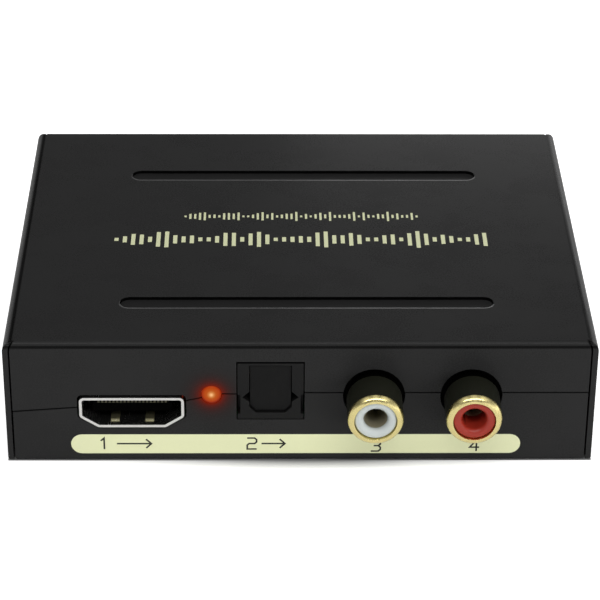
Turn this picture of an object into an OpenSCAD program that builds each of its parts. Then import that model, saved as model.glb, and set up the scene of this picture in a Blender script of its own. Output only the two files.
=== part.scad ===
// Audio extractor: a small black sheet-metal box that takes the sound out of a video signal.
// It stands on its bottom face. The origin is the centre of that face, +X is to the right and
// -Y is forwards for someone who looks at the face with the sound sockets.

/* [Case] */
// Width over the side walls
case_w = 85; // [82:0.5:100]
// Depth from the front face to the rear face
case_d = 66.5; // [62:0.5:90]
// Height from the bottom face to the top face
case_h = 20; // [19:0.5:28]
// Thickness of the sheet metal
sheet = 0.8; // [0.6:0.1:1]
// Outer radius of the bends between the top and the side walls
side_bend_r = 1.5; // [1.2:0.1:2.4]
// Outer radius of the bends at the front and rear edges of the top
end_bend_r = 0.7; // [0.4:0.1:1.2]
// Outer radius along the bottom edges
foot_r = 0.5; // [0.3:0.1:0.7]
// Gap in the seams between the cover and the bottom shell
seam_gap = 0.25; // [0.15:0.05:0.4]

/* [Grooves in the top] */
// Length of a groove from end to end
groove_l = 54.5; // [30:0.5:64]
// Width of a groove
groove_w = 2.9; // [2:0.1:4]
// Depth of a groove
groove_depth = 0.5; // [0.3:0.1:0.6]
// Distance between the centre lines of the two grooves
groove_pitch = 40; // [25:0.1:44]

/* [Board] */
// Height of the standoffs above the bottom plate
standoff_h = 3.45; // [3:0.05:4.4]
// Thickness of the circuit board
board_t = 1.6; // [1:0.1:1.8]
// Gap between the board and the front and rear walls
board_end_gap = 0.5; // [0.3:0.1:1]
// Gap between the board and the screw tabs
board_side_gap = 1.5; // [0.5:0.1:2.5]

/* [Screws] */
// Radius of the thread of every screw
screw_r = 1.25; // [1:0.05:1.5]
// Length of a side screw with its head
side_screw_l = 4; // [3:0.5:5]
// Distance of a side screw from the middle of its wall
side_screw_y = 21; // [15:0.5:24]
// Distance of a board screw from the board's side edge
board_screw_inset = 3.6; // [3.2:0.1:4.5]

/* [Video sockets] */
// Place of the video output on the front face, from the middle
video_out_x = -24.3; // [-27:0.1:-23]
// Place of the video input on the rear face, from the middle
video_in_x = 20; // [15:0.5:26]
// Width of a socket's shell
port_w = 15.1; // [14.5:0.1:15.6]
// Height of a socket's shell
port_h = 5; // [4.8:0.1:5.6]
// Width of the shell's narrow bottom side
port_foot_w = 9.7; // [9:0.1:11]
// Height of the corner where the shell's side starts to slant
port_knee_h = 1.75; // [1.4:0.05:2.2]
// Wall of the shell
port_wall = 0.4; // [0.3:0.05:0.5]
// Length of the shell
port_l = 12; // [11:0.5:14]

/* [Optical socket] */
// Place of the optical socket on the front face, from the middle
optical_x = -4.3; // [-6:0.1:-4]
// Width of the housing
optical_w = 9.5; // [9:0.1:10.5]
// Height of the housing above the board
optical_h = 10.6; // [10.2:0.1:10.9]
// Length of the housing
optical_l = 13.5; // [13:0.5:15]
// Width of the opening
mouth_w = 6.1; // [5.8:0.1:6.4]
// Height of the opening
mouth_h = 7.95; // [7.7:0.05:8]
// Thickness of the shutter
shutter_t = 0.8; // [0.6:0.1:1]

/* [Phono jacks] */
// Place of the left jack on the front face, from the middle
jack_x = 10.6; // [8:0.1:12]
// Distance between the two jacks
jack_pitch = 14; // [11:0.5:15]
// Height of the jacks' centres above the board
jack_h = 5.2; // [5:0.1:5.4]
// Radius of a barrel
jack_r = 4; // [3.9:0.05:4.3]
// Radius of the insulator in a jack
jack_insulator_r = 3; // [2.8:0.05:3.1]
// Radius of the hole for the plug's pin
jack_pin_r = 1.7; // [1.6:0.05:1.9]
// How far a jack stands out of the front face
jack_proud = 7; // [5:0.5:10]
// Length of the gold nose at the jack's end
jack_nose_l = 1; // [0.8:0.1:1.6]

/* [Status lamp] */
// Place of the lamp on the front face, from the middle
lamp_x = -12.8; // [-13.2:0.1:-12.4]
// Radius of the lens
lamp_r = 1.45; // [1.2:0.05:1.5]

/* [Power jack] */
// Place of the power jack on the rear face, from the middle
power_x = -27; // [-29:0.5:-24]
// Radius of the hole for the plug
power_bore_r = 3.15; // [2.8:0.05:3.3]
// Radius of the centre pin
power_pin_r = 1; // [0.6:0.05:1.25]

/* [Mode switch] */
// Place of the mode switch on the rear face, from the middle
mode_x = -4; // [-7:0.5:1]
// Travel of the knob from the middle position to either end
mode_travel = 2; // [1:0.1:2]
// Width of the knob
mode_knob_w = 1.8; // [1.4:0.1:2.2]

/* [Hidden] */
$fn = 48;
// Overrun of every cut
overrun = 1;
// Clearance between pieces that are put together and stay still
fit = 0.05;
// Clearance between a socket and its hole in the case
hole_gap = 0.3;
// The same round a phono jack's barrel
jack_hole_gap = 0.45;
// Steps in a rounded corner of an outline
corner_steps = 5;

// Inside of the side walls, of the end walls and of the top
inner_x = case_w / 2 - sheet;
inner_y = case_d / 2 - sheet;
ceiling_z = case_h - sheet;
// Side edges of the bottom shell
shell_x = inner_x - seam_gap;
// Heights of the board's two faces
board_z = sheet + standoff_h;
board_top = board_z + board_t;
// Size of the board
board_w = 2 * (shell_x - sheet - board_side_gap);
board_d = 2 * (inner_y - board_end_gap);
// First place behind a wall where a socket's body can start, from the wall's outer face
behind_wall = sheet + fit;

// Middle of the pair of grooves
groove_x = 1;
groove_y = -1.85;
// Metal left round a groove on the underside
groove_rim = 0.5;
// Radius in which the gap beside a flange turns into the top
corner_slot_r = 2.2;

// Heights of the front seam above the board: at its left end, at the two sides of the video
// output, between the lamp and the optical socket, and from there to its right end
seam_end_h = 2.5;
seam_left_h = 3.25;
seam_right_h = 4.3;
seam_lamp_h = 5.48;
seam_h = 5.7;

// Screw tabs of the bottom shell
tab_w = 9;
tab_h = 13;
side_screw_z = 9.5;
screw_head_r = 2.2;
screw_head_h = 1.3;
recess_w = 0.5;
recess_depth = 0.5;
// Standoffs and the spigots that hold them in the bottom plate
standoff_r = 2.4;
spigot_r = 1.9;
board_screw_l = 4.6;
board_screw_share = 0.205;

// Thickness and width of a lead, and how far leads reach out under the board
lead_t = 0.5;
lead_below = 0.8;

// Corner radius of a video socket and how far it stands out of the case
port_corner_r = 0.7;
port_proud = 0.3;
// Shell fingers: size and first depth behind the case's face
finger_w = 1.25;
finger_l = 2.1;
finger_t = 0.25;
finger_x = 2.5;
finger_y = 1;
// Shell legs
port_leg_w = 1.4;
port_leg_y = [3.2, 9];
// Tongue that carries the contacts
tongue_w = 11.4;
tongue_t = 1.4;
tongue_z = 1.8;
tongue_y = 1.4;
port_block_y = 7.5;
port_block_l = 3.9;
contact_count = 19;
contact_pitch = 0.54;
contact_w = 0.28;
contact_t = 0.12;
contact_foot_l = 1.1;

// Cut-out for the optical socket: lowest height above the board, and clearance
optical_sill_h = 1.1;
optical_gap = 0.15;
// Opening: height of its sill above the board, corner bevel and the keyways at its sides
mouth_sill_h = 2.3;
mouth_bevel = 0.95;
keyway_w = 1;
keyway_low_h = 4.15;
keyway_mid_h = 4.9;
keyway_top_h = 5.85;
mouth_depth = 8.6;
// Recesses in the housing's sides, behind the edges of the cut-out
side_recess = 0.4;
side_recess_low_h = 2.1;
side_recess_top_h = 5.3;
side_recess_l = 1.3;
// Shutter: play in the opening, depth behind the face, and its pivot
shutter_play = 0.1;
shutter_back = 0.45;
shutter_crest = 0.5;
pivot_drop = 0.8;
pivot_pin_r = 0.35;
pivot_pin_l = 0.8;
pivot_play = 0.06;
// Leaf spring behind the shutter
leaf_w = 2;
leaf_t = 0.12;
leaf_r = 2;
leaf_foot_l = 2.4;
// Light path and transmitter at the back of the socket
ferrule_r = 1.3;
ferrule_drop = 0.9;
ferrule_wall = 1.2;
emitter_w = 5.4;
emitter_h = 5.6;
emitter_nose_r = 1;
emitter_nose_l = 0.8;
emitter_lead_pitch = 2;

// Phono housing
jack_side = 6;
jack_block_top = 5.1;
jack_block_l = 11.5;
jack_sleeve_wall = 0.4;
jack_sleeve_end = 6;
jack_insulator_end = 7.4;
jack_nose_round = 0.9;
jack_insulator_proud = 0.1;
jack_edge_r = 0.25;
// Rim by which a barrel is thicker where it passes through the wall
jack_root_rim = 0.2;
// Depth of the narrow part of the hole for the plug's pin, and the contact behind it
jack_hole_l = 5.5;
jack_contact_wall = 0.7;
jack_contact_grip = 0.3;
jack_contact_end = 8.6;
jack_contact_slit = 0.4;
tail_t = 0.4;
tail_w = 1.2;

// Lamp: height above the board, how far its domed front stands out, body, flange and leads
lamp_h = 5.35;
lamp_proud = 0.4;
lamp_l = 4.4;
lamp_flange_t = 0.9;
lamp_flange_rim = 0.45;
lamp_lead_bend = 2;
lamp_lead_pitch = 2.54;

// Power jack: body, collar in the wall and bore
power_w = 9;
power_l = 13;
power_h = 10.9;
power_axis_h = 6.2;
power_collar_wall = 0.85;
power_bore_l = 9.8;
power_pin_back = 0.8;
power_root_r = 1.3;
power_spring_t = 0.3;
// Depths behind the wall at which the strip and its slot in the housing begin
power_spring_y = 2;
power_slot_y = 1;

// Mode switch: base, channel for the slider, sheet frame and pins
mode_w = 9.6;
mode_h = 3.6;
mode_base_l = 3.4;
mode_frame_t = 0.3;
mode_gap = 0.2;
mode_slider_w = 3.2;
mode_slider_h = 1.8;
mode_slider_l = 1.6;
mode_knob_h = 1.5;
mode_proud = 2.2;
mode_pin_pitch = 2;
mode_tab_w = 1.2;

// Rear seam: heights above the board beside the power jack and at the other sockets,
// and the width over which it changes
rear_seam_low_h = 2.5;
rear_seam_step = 4;

// Chips: body sizes and leads
video_chip_w = 10;
video_chip_t = 1.4;
video_chip_pitch = 0.5;
video_lead_count = 16;
small_chip_w = 3.9;
audio_chip_l = 9.9;
memory_chip_l = 4.9;
small_chip_t = 1.5;
small_chip_pitch = 1.27;
audio_lead_count = 8;
memory_lead_count = 4;
chip_lift = 0.12;
gull_reach = 1;
gull_t = 0.15;
video_lead_w = 0.22;
small_lead_w = 0.42;
regulator_w = 6.5;
regulator_d = 3.5;
regulator_t = 1.6;
regulator_pitch = 2.3;
regulator_tab_w = 3;
regulator_lead_count = 3;
regulator_lead_w = 0.7;
inductor_w = 6;
inductor_h = 2.8;
inductor_round = 1;
terminal_w = 2;
terminal_t = 0.2;
can_r = 3.15;
can_h = 5.1;
can_groove = 0.2;
can_groove_h = 1.2;
can_base_w = 6.6;
can_base_t = 0.4;
can_base_bevel = 1.2;
crystal_l = 11;
crystal_w = 4.6;
crystal_h = 3.4;
crystal_flange = 0.4;
crystal_base_t = 0.5;
// Small parts: length, width and height, and the pitch of a row
ceramic_size = [1.6, 0.8, 0.8];
resistor_size = [1.6, 0.8, 0.45];
array_size = [2.9, 1.4, 1];
small_pitch = 1.3;
row_count = 6;
array_y = 14.4;
array_x = 2.6;
resistor_y = 16.4;

// Places on the board, as shares of its width and depth
video_chip_share = [-0.1, 0.02];
audio_chip_share = [0.2, -0.06];
memory_chip_share = [0.2, 0.13];
regulator_share = [-0.32, -0.06];
inductor_share = [-0.32, 0.12];
crystal_share = [0.07, -0.18];
can_shares = [[0.39, -0.04], [0.39, 0.1], [-0.43, -0.02]];

// Heights and places worked out from the values above
pivot_z = mouth_sill_h + mouth_h - pivot_drop;
pivot_y = shutter_back + shutter_t / 2;
ferrule_z = mouth_sill_h + mouth_h / 2 - ferrule_drop;
emitter_y = mouth_depth + ferrule_wall;
nose_back = jack_nose_l - jack_proud;
sleeve_r = jack_insulator_r + fit;
sleeve_outer_r = sleeve_r + jack_sleeve_wall;
block_bore_r = sleeve_outer_r + fit;
contact_inner_r = jack_pin_r - jack_contact_grip;
contact_outer_r = contact_inner_r + jack_contact_wall;
contact_start = jack_hole_l - jack_proud;
power_collar_r = power_bore_r + power_collar_wall;
mode_z = mode_h / 2;
mode_channel_w = mode_slider_w + 2 * (mode_travel + mode_gap);
mode_base_y = behind_wall + mode_gap + mode_frame_t;
mode_slot_w = mode_knob_w + 2 * (mode_travel + mode_gap);

// Shapes that several pieces share

// A box between two corners
module block(low, high) translate(low) cube(high - low);

// A flat shape in X and Z, drawn out along Y
module along_y(from, to) translate([0, to, 0]) rotate([90, 0, 0]) linear_extrude(to - from) children();

// A flat shape in Y and Z, drawn out along X
module along_x(from, to) translate([from, 0, 0]) rotate([90, 0, 90]) linear_extrude(to - from) children();

// Round rods along Y and along X
module rod_y(r, from, to) translate([0, from, 0]) rotate([-90, 0, 0]) cylinder(r = r, h = to - from);
module rod_x(r, from, to) translate([from, 0, 0]) rotate([0, 90, 0]) cylinder(r = r, h = to - from);

// A profile in radius and depth, turned round the Y axis
module turned_y() rotate([-90, 0, 0]) rotate_extrude() children();

// Places on the two end faces, at the height of the board, with -Y pointing out of the case
module at_front(x) translate([x, -case_d / 2, board_top]) children();
module at_rear(x) translate([x, case_d / 2, board_top]) rotate([0, 0, 180]) children();

// A place on the board, given in shares of its size
module on_board(share) translate([share[0] * board_w, share[1] * board_d, board_top]) children();

// The four places of the board screws
module at_board_screws() {
    for (x = [-1, 1], y = [-1, 1])
        translate([x * (board_w / 2 - board_screw_inset), y * board_screw_share * board_d, 0])
            children();
}

// The four places of the side screws, with +X pointing into the case
module at_side_screws() {
    for (x = [-1, 1], y = [-1, 1])
        translate([x * case_w / 2, y * side_screw_y, side_screw_z])
            rotate([0, 0, x > 0 ? 180 : 0]) children();
}

// A rectangle that stands on the axis, with round upper and lower corners
module rounded_section(w, h, upper_r, lower_r) {
    for (side = [-1, 1]) {
        translate([side * (w / 2 - upper_r), h - upper_r]) circle(upper_r);
        translate([side * (w / 2 - lower_r), lower_r]) circle(lower_r);
    }
    translate([-w / 2, lower_r]) square([w, h - upper_r - lower_r]);
    translate([upper_r - w / 2, h - upper_r]) square([w - 2 * upper_r, upper_r]);
    translate([lower_r - w / 2, 0]) square([w - 2 * lower_r, lower_r]);
}

// A flat slot with round ends
module stadium(l, w) {
    for (side = [-1, 1]) translate([side * (l - w) / 2, 0]) circle(w / 2);
    square([l - w, w], center = true);
}

function unit(v) = v / norm(v);
function turned(v, a) = [v[0] * cos(a) - v[1] * sin(a), v[0] * sin(a) + v[1] * cos(a)];

// Outline with every corner rounded, for corners listed the left-hand way round
function rounded(corners, r) = [
    for (i = [0:len(corners) - 1])
        let (
            here = corners[i],
            back = unit(corners[(i + len(corners) - 1) % len(corners)] - here),
            ahead = unit(corners[(i + 1) % len(corners)] - here),
            half = acos(back * ahead) / 2,
            centre = here + unit(back + ahead) * r / sin(half),
            start = here + back * r / tan(half) - centre,
            way = cross(back, ahead) < 0 ? 1 : -1
        )
        for (k = [0:corner_steps]) centre + turned(start, way * k / corner_steps * (180 - 2 * half))
];

// Quarter of a circle from one angle to another
function arc(centre, r, from, to) = [
    for (k = [0:corner_steps]) centre + turned([r, 0], from + k / corner_steps * (to - from))
];

// A gull-wing lead that leaves a body at a height and comes down to the board
module gull_lead(shoulder_h, w) {
    knee = gull_reach / 2;
    along_x(-w / 2, w / 2) polygon([
        [0, shoulder_h], [knee, shoulder_h], [knee, gull_t], [gull_reach, gull_t], [gull_reach, 0],
        [knee - gull_t, 0], [knee - gull_t, shoulder_h - gull_t], [0, shoulder_h - gull_t]
    ]);
}

// A row of leads along X that point to +Y
module lead_row(count, pitch, shoulder_h, w) {
    for (i = [0:count - 1]) translate([(i - (count - 1) / 2) * pitch, 0, 0]) gull_lead(shoulder_h, w);
}

// Two facing rows of leads
module lead_rows(body_w, count, pitch, shoulder_h, w) {
    for (turn = [0, 180]) rotate([0, 0, turn])
        translate([0, body_w / 2, 0]) lead_row(count, pitch, shoulder_h, w);
}

// Cross-shaped recess, cut down from the plane of the head's top
module cross_recess() {
    for (turn = [0, 90]) rotate([0, 0, turn])
        translate([0, 0, -recess_depth / 2])
            cube([screw_head_r, recess_w, recess_depth], center = true);
}

// Case

// The whole case as one closed block
module case_block() {
    intersection() {
        along_y(-case_d / 2, case_d / 2) rounded_section(case_w, case_h, side_bend_r, foot_r);
        along_x(-case_w / 2, case_w / 2) rounded_section(case_d, case_h, end_bend_r, foot_r);
    }
}

// Room inside the cover, open downwards
module cover_room() {
    inner_r = side_bend_r - sheet;
    along_y(-inner_y, inner_y) {
        for (side = [-1, 1]) translate([side * (inner_x - inner_r), ceiling_z - inner_r]) circle(inner_r);
        translate([-inner_x, -overrun]) square([2 * inner_x, ceiling_z - inner_r + overrun]);
        translate([inner_r - inner_x, 0]) square([2 * (inner_x - inner_r), ceiling_z]);
    }
}

// Everything under the front seam, up to a height above its centre line
module under_front_seam(x, rise) {
    polygon([
        [-x, -overrun],
        [-x, board_top + seam_end_h + rise],
        [video_out_x - port_w / 2, board_top + seam_left_h + rise],
        [video_out_x + port_w / 2, board_top + seam_right_h + rise],
        [lamp_x + lamp_r, board_top + seam_lamp_h + rise],
        [optical_x - mouth_w / 2, board_top + seam_lamp_h + rise],
        [optical_x + mouth_w / 2, board_top + seam_h + rise],
        [x, board_top + seam_h + rise],
        [x, -overrun]
    ]);
}

// The same under the rear seam, which steps down beside the power jack
module under_rear_seam(x, rise) {
    step_x = power_x + power_collar_r + hole_gap;
    polygon([
        [-x, -overrun],
        [-x, board_top + power_axis_h + rise],
        [step_x, board_top + power_axis_h + rise],
        [step_x + rear_seam_step, board_top + rear_seam_low_h + rise],
        [x, board_top + rear_seam_low_h + rise],
        [x, -overrun]
    ]);
}

// Openings in the front face
module front_cutouts() {
    at_front(video_out_x) along_y(-overrun, sheet + overrun)
        polygon(rounded(port_corners(-hole_gap), port_corner_r));
    at_front(lamp_x) translate([0, 0, lamp_h]) rod_y(lamp_r + fit, -overrun, sheet + overrun);
    at_front(optical_x)
        block([-optical_w / 2 - optical_gap, -overrun, optical_sill_h],
              [optical_w / 2 + optical_gap, sheet + overrun, optical_h + hole_gap]);
    at_front(jack_x) for (i = [0, 1])
        translate([i * jack_pitch, 0, jack_h]) rod_y(jack_r + jack_hole_gap, -overrun, sheet + overrun);
}

// Openings in the rear face
module rear_cutouts() {
    at_rear(video_in_x) along_y(-overrun, sheet + overrun)
        polygon(rounded(port_corners(-hole_gap), port_corner_r));
    at_rear(power_x) translate([0, 0, power_axis_h])
        rod_y(power_collar_r + hole_gap, -overrun, sheet + overrun);
    at_rear(mode_x)
        block([-mode_slot_w / 2, -overrun, mode_z - mode_knob_h / 2 - hole_gap],
              [mode_slot_w / 2, sheet + overrun, mode_z + mode_knob_h / 2 + hole_gap]);
}

// Gap between a side wall and the upper flange beside it, which turns in where it meets the top
module corner_slot() {
    bend = [0, case_h - side_bend_r];
    wide = corner_slot_r;
    along_y(-overrun, sheet) polygon(concat(
        [[wide - seam_gap, 0], [wide, 0]],
        arc(bend, wide, 0, 90),
        arc(bend, wide - seam_gap, 90, 0)
    ));
}

// The four corner slots in their places
module corner_slots() {
    for (end = [0, 180], side = [0, 1]) rotate([0, 0, end]) mirror([side, 0, 0])
        translate([inner_x - corner_slot_r, -case_d / 2, 0]) corner_slot();
}

// The two grooves' places
module at_grooves() {
    for (side = [-1, 1]) translate([groove_x, groove_y + side * groove_pitch / 2, 0]) children();
}

module top_cover() {
    color("#2b2c2f") difference() {
        union() {
            difference() {
                case_block();
                cover_room();
                along_y(-case_d / 2 - overrun, -inner_y + overrun) under_front_seam(inner_x, seam_gap / 2);
                along_y(inner_y - overrun, case_d / 2 + overrun) under_rear_seam(inner_x, seam_gap / 2);
            }
            at_grooves() translate([0, 0, ceiling_z - groove_depth])
                linear_extrude(groove_depth + sheet / 2)
                    stadium(groove_l + 2 * groove_rim, groove_w + 2 * groove_rim);
        }
        at_grooves() translate([0, 0, case_h - groove_depth])
            linear_extrude(groove_depth + overrun) stadium(groove_l, groove_w);
        corner_slots();
        front_cutouts();
        rear_cutouts();
        at_side_screws() {
            rotate([0, 90, 0]) cylinder(r1 = screw_head_r + fit, r2 = screw_r + fit, h = sheet);
            rod_x(screw_r + fit, 0, sheet + overrun);
        }
    }
}

module bottom_shell() {
    tab_x = shell_x - sheet;
    color("#2e2f32") difference() {
        union() {
            intersection() {
                case_block();
                union() {
                    block([-shell_x, -case_d / 2, 0], [shell_x, case_d / 2, sheet]);
                    along_y(-case_d / 2, -inner_y) under_front_seam(shell_x, -seam_gap / 2);
                    along_y(inner_y, case_d / 2) under_rear_seam(shell_x, -seam_gap / 2);
                }
            }
            for (x = [-1, 1], y = [-1, 1]) translate([x * (tab_x + sheet / 2), y * side_screw_y, 0])
                block([-sheet / 2, -tab_w / 2, 0], [sheet / 2, tab_w / 2, tab_h]);
        }
        front_cutouts();
        rear_cutouts();
        at_side_screws() rod_x(screw_r + fit, sheet, side_screw_l);
        at_board_screws() translate([0, 0, -overrun]) cylinder(r = spigot_r + fit, h = sheet + 2 * overrun);
    }
}

module side_screws() {
    color("#1f2022") at_side_screws() difference() {
        union() {
            rotate([0, 90, 0]) cylinder(r1 = screw_head_r, r2 = screw_r, h = sheet);
            rod_x(screw_r, 0, side_screw_l);
        }
        rotate([0, -90, 0]) cross_recess();
    }
}

module board_standoffs() {
    color("#b9a468") at_board_screws() difference() {
        union() {
            translate([0, 0, sheet]) cylinder(r = standoff_r, h = standoff_h);
            cylinder(r = spigot_r, h = sheet + fit);
        }
        translate([0, 0, board_top - board_screw_l - fit])
            cylinder(r = screw_r + fit, h = board_screw_l + overrun);
    }
}

module board_screws() {
    color("#c7c8ca") at_board_screws() difference() {
        union() {
            translate([0, 0, board_top]) cylinder(r = screw_head_r, h = screw_head_h);
            translate([0, 0, board_top - board_screw_l]) cylinder(r = screw_r, h = board_screw_l);
        }
        translate([0, 0, board_top + screw_head_h]) cross_recess();
    }
}

// Hole in the board for a lead or tail of the same plan, drawn round it with clearance
module lead_hole(w, d) {
    translate([0, 0, -board_t / 2]) cube([w + 2 * fit, d + 2 * fit, board_t + 2 * overrun], center = true);
}

module main_board() {
    color("#1f5b3a") difference() {
        translate([-board_w / 2, -board_d / 2, board_z]) cube([board_w, board_d, board_t]);
        at_board_screws() translate([0, 0, board_z - overrun])
            cylinder(r = screw_r + 2 * fit, h = board_t + 2 * overrun);
        at_front(video_out_x) at_port_legs() lead_hole(port_wall, port_leg_w);
        at_rear(video_in_x) at_port_legs() lead_hole(port_wall, port_leg_w);
        at_front(optical_x) at_optical_leads() lead_hole(lead_t, lead_t);
        at_front(jack_x) at_jack_tails() lead_hole(tail_w, tail_t);
        at_front(lamp_x) at_lamp_leads() lead_hole(lead_t, lead_t);
        at_rear(power_x) at_power_tails() lead_hole(tail_w, tail_t);
        at_rear(mode_x) at_mode_pins() lead_hole(lead_t, lead_t);
        at_rear(mode_x) at_mode_tabs() lead_hole(mode_frame_t, mode_tab_w);
    }
}

// Video sockets

// Corners of a video socket's outline, drawn in from the shell's outside by a distance
function port_corners(inset) =
    let (
        side = port_w / 2,
        foot = port_foot_w / 2,
        slant = norm([side - foot, port_knee_h]),
        down = (side - foot) / slant,
        out = port_knee_h / slant,
        reach = out * foot - inset,
        knee = (out * (side - inset) - reach) / down,
        toe = (reach + down * inset) / out
    )
    [
        [side - inset, knee], [side - inset, port_h - inset], [inset - side, port_h - inset],
        [inset - side, knee], [-toe, inset], [toe, inset]
    ];

// The four legs of a shell
module at_port_legs() {
    for (x = [-1, 1], y = port_leg_y) translate([x * (port_w - port_wall) / 2, y, 0]) children();
}

module port_shell() {
    color("#dfe0e0") {
        along_y(-port_proud, port_l - port_proud) difference() {
            polygon(rounded(port_corners(0), port_corner_r));
            polygon(rounded(port_corners(port_wall), port_corner_r - port_wall));
        }
        for (x = [-1, 1], top = [0, 1])
            translate([x * finger_x, finger_y, top * (port_h - 2 * port_wall - finger_t)])
                block([-finger_w / 2, 0, port_wall / 2], [finger_w / 2, finger_l, port_wall + finger_t]);
        at_port_legs() block([-port_wall / 2, -port_leg_w / 2, -board_t - lead_below],
                             [port_wall / 2, port_leg_w / 2, port_h / 2]);
    }
}

module port_insulator() {
    window_w = contact_pitch * contact_count;
    color("#101012") difference() {
        union() {
            block([-tongue_w / 2, tongue_y, tongue_z],
                  [tongue_w / 2, port_block_y + overrun, tongue_z + tongue_t]);
            along_y(port_block_y, port_block_y + port_block_l)
                polygon(rounded(port_corners(port_wall + fit), port_corner_r - port_wall));
        }
        block([-window_w / 2, port_block_y - overrun, tongue_z + tongue_t],
              [window_w / 2, port_l + overrun, tongue_z + tongue_t + contact_t + fit]);
    }
}

module port_contacts() {
    top = tongue_z + tongue_t;
    back = port_l - port_proud + fit;
    color("#c9b46a") for (i = [0:contact_count - 1])
        translate([(i - (contact_count - 1) / 2) * contact_pitch, 0, 0])
            along_x(-contact_w / 2, contact_w / 2) polygon([
                [tongue_y, top], [back, top], [back, 0], [back + contact_foot_l, 0],
                [back + contact_foot_l, contact_t], [back + contact_t, contact_t],
                [back + contact_t, top + contact_t], [tongue_y, top + contact_t]
            ]);
}

module video_out_shell() at_front(video_out_x) port_shell();
module video_out_insulator() at_front(video_out_x) port_insulator();
module video_out_contacts() at_front(video_out_x) port_contacts();
module video_in_shell() at_rear(video_in_x) port_shell();
module video_in_insulator() at_rear(video_in_x) port_insulator();
module video_in_contacts() at_rear(video_in_x) port_contacts();

// Optical socket

// The three leads of the transmitter
module at_optical_leads() {
    for (i = [-1:1]) translate([i * emitter_lead_pitch, optical_l - lead_t, 0]) children();
}

// Outline of the opening, with bevelled lower corners and a keyway in each side
module mouth_outline() {
    side = mouth_w / 2;
    top = mouth_sill_h + mouth_h;
    polygon([
        [side - mouth_bevel, mouth_sill_h], [side, mouth_sill_h + mouth_bevel],
        [side, keyway_low_h], [side + keyway_w, keyway_mid_h], [side, keyway_top_h],
        [side, top], [-side, top],
        [-side, keyway_top_h], [-side - keyway_w, keyway_mid_h], [-side, keyway_low_h],
        [-side, mouth_sill_h + mouth_bevel], [mouth_bevel - side, mouth_sill_h]
    ]);
}

module optical_housing() {
    pocket_w = emitter_w / 2 + 2 * fit;
    pocket_top = ferrule_z + emitter_h / 2 + 2 * fit;
    pocket_low = ferrule_z - emitter_h / 2 - 2 * fit;
    color("#17181a") at_front(optical_x) difference() {
        block([-optical_w / 2, 0, 0], [optical_w / 2, optical_l, optical_h]);
        block([-optical_w / 2 - overrun, -overrun, -overrun],
              [optical_w / 2 + overrun, behind_wall, optical_sill_h + optical_gap]);
        for (side = [-1, 1]) translate([side * optical_w / 2, 0, 0])
            block([-side_recess, -overrun, side_recess_low_h],
                  [side_recess, side_recess_l, side_recess_top_h]);
        along_y(-overrun, mouth_depth) mouth_outline();
        translate([0, pivot_y, pivot_z])
            rod_x(pivot_pin_r + pivot_play,
                  -mouth_w / 2 - pivot_pin_l - fit, mouth_w / 2 + pivot_pin_l + fit);
        translate([0, 0, ferrule_z]) rod_y(ferrule_r, mouth_depth - overrun, emitter_y + overrun);
        block([-pocket_w, emitter_y, pocket_low], [pocket_w, optical_l + overrun, pocket_top]);
        block([-pocket_w, optical_l - 2 * lead_t - fit, -overrun],
              [pocket_w, optical_l + overrun, pocket_top]);
    }
}

module optical_shutter() {
    side = mouth_w / 2 - shutter_play;
    low = mouth_sill_h + shutter_play;
    color("#131415") at_front(optical_x) {
        along_y(shutter_back, shutter_back + shutter_t) polygon([
            [side - mouth_bevel, low], [side, low + mouth_bevel], [side, pivot_z + shutter_crest],
            [-side, pivot_z + shutter_crest], [-side, low + mouth_bevel], [mouth_bevel - side, low]
        ]);
        translate([0, pivot_y, pivot_z])
            rod_x(pivot_pin_r, -mouth_w / 2 - pivot_pin_l, mouth_w / 2 + pivot_pin_l);
    }
}

// Leaf spring: flat on the ceiling of the opening, then bent down to the shutter's back
module shutter_spring() {
    start = shutter_back + shutter_t + 2 * fit;
    top = mouth_sill_h + mouth_h - fit;
    centre = [start + leaf_r, top - leaf_r];
    color("#b8babd") at_front(optical_x) along_x(-leaf_w / 2, leaf_w / 2) polygon(concat(
        arc(centre, leaf_r, 180, 90),
        [[start + leaf_r + leaf_foot_l, top], [start + leaf_r + leaf_foot_l, top - leaf_t]],
        arc(centre, leaf_r - leaf_t, 90, 180)
    ));
}

module optical_transmitter() {
    color("#5a1b18") at_front(optical_x) {
        translate([0, 0, ferrule_z])
            block([-emitter_w / 2, emitter_y + fit, -emitter_h / 2],
                  [emitter_w / 2, optical_l - 2 * lead_t, emitter_h / 2]);
        translate([0, 0, ferrule_z]) rod_y(emitter_nose_r, emitter_y - emitter_nose_l, emitter_y + overrun);
    }
}

module optical_leads() {
    color("#c7c8ca") at_front(optical_x) at_optical_leads() {
        block([-lead_t / 2, -lead_t / 2, -board_t - lead_below], [lead_t / 2, lead_t / 2, ferrule_z]);
        block([-lead_t / 2, -lead_t, ferrule_z - lead_t], [lead_t / 2, 0, ferrule_z]);
    }
}

// Phono jacks

// The jacks' axes
module at_jacks() for (i = [0, 1]) translate([i * jack_pitch, 0, jack_h]) children();

// The tails of the sleeves and of the centre contacts, where they cross the board
module at_jack_tails() {
    for (i = [0, 1], y = [jack_sleeve_end, jack_contact_end])
        translate([i * jack_pitch, y - tail_t / 2, 0]) children();
}

module phono_housing() {
    color("#191a16") at_front(jack_x) difference() {
        union() {
            block([-jack_side, behind_wall, 0],
                  [jack_pitch + jack_side, behind_wall + jack_block_l, jack_h + jack_block_top]);
            at_jacks() rod_y(jack_r, nose_back, overrun);
            at_jacks() rod_y(jack_r + jack_root_rim, fit, behind_wall + overrun);
        }
        at_jacks() rod_y(block_bore_r, nose_back - overrun, jack_contact_end + fit);
        at_jack_tails()
            block([-tail_w / 2 - fit, -tail_t / 2 - fit, -overrun],
                  [tail_w / 2 + fit, tail_t / 2 + fit, jack_h]);
    }
}

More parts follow.
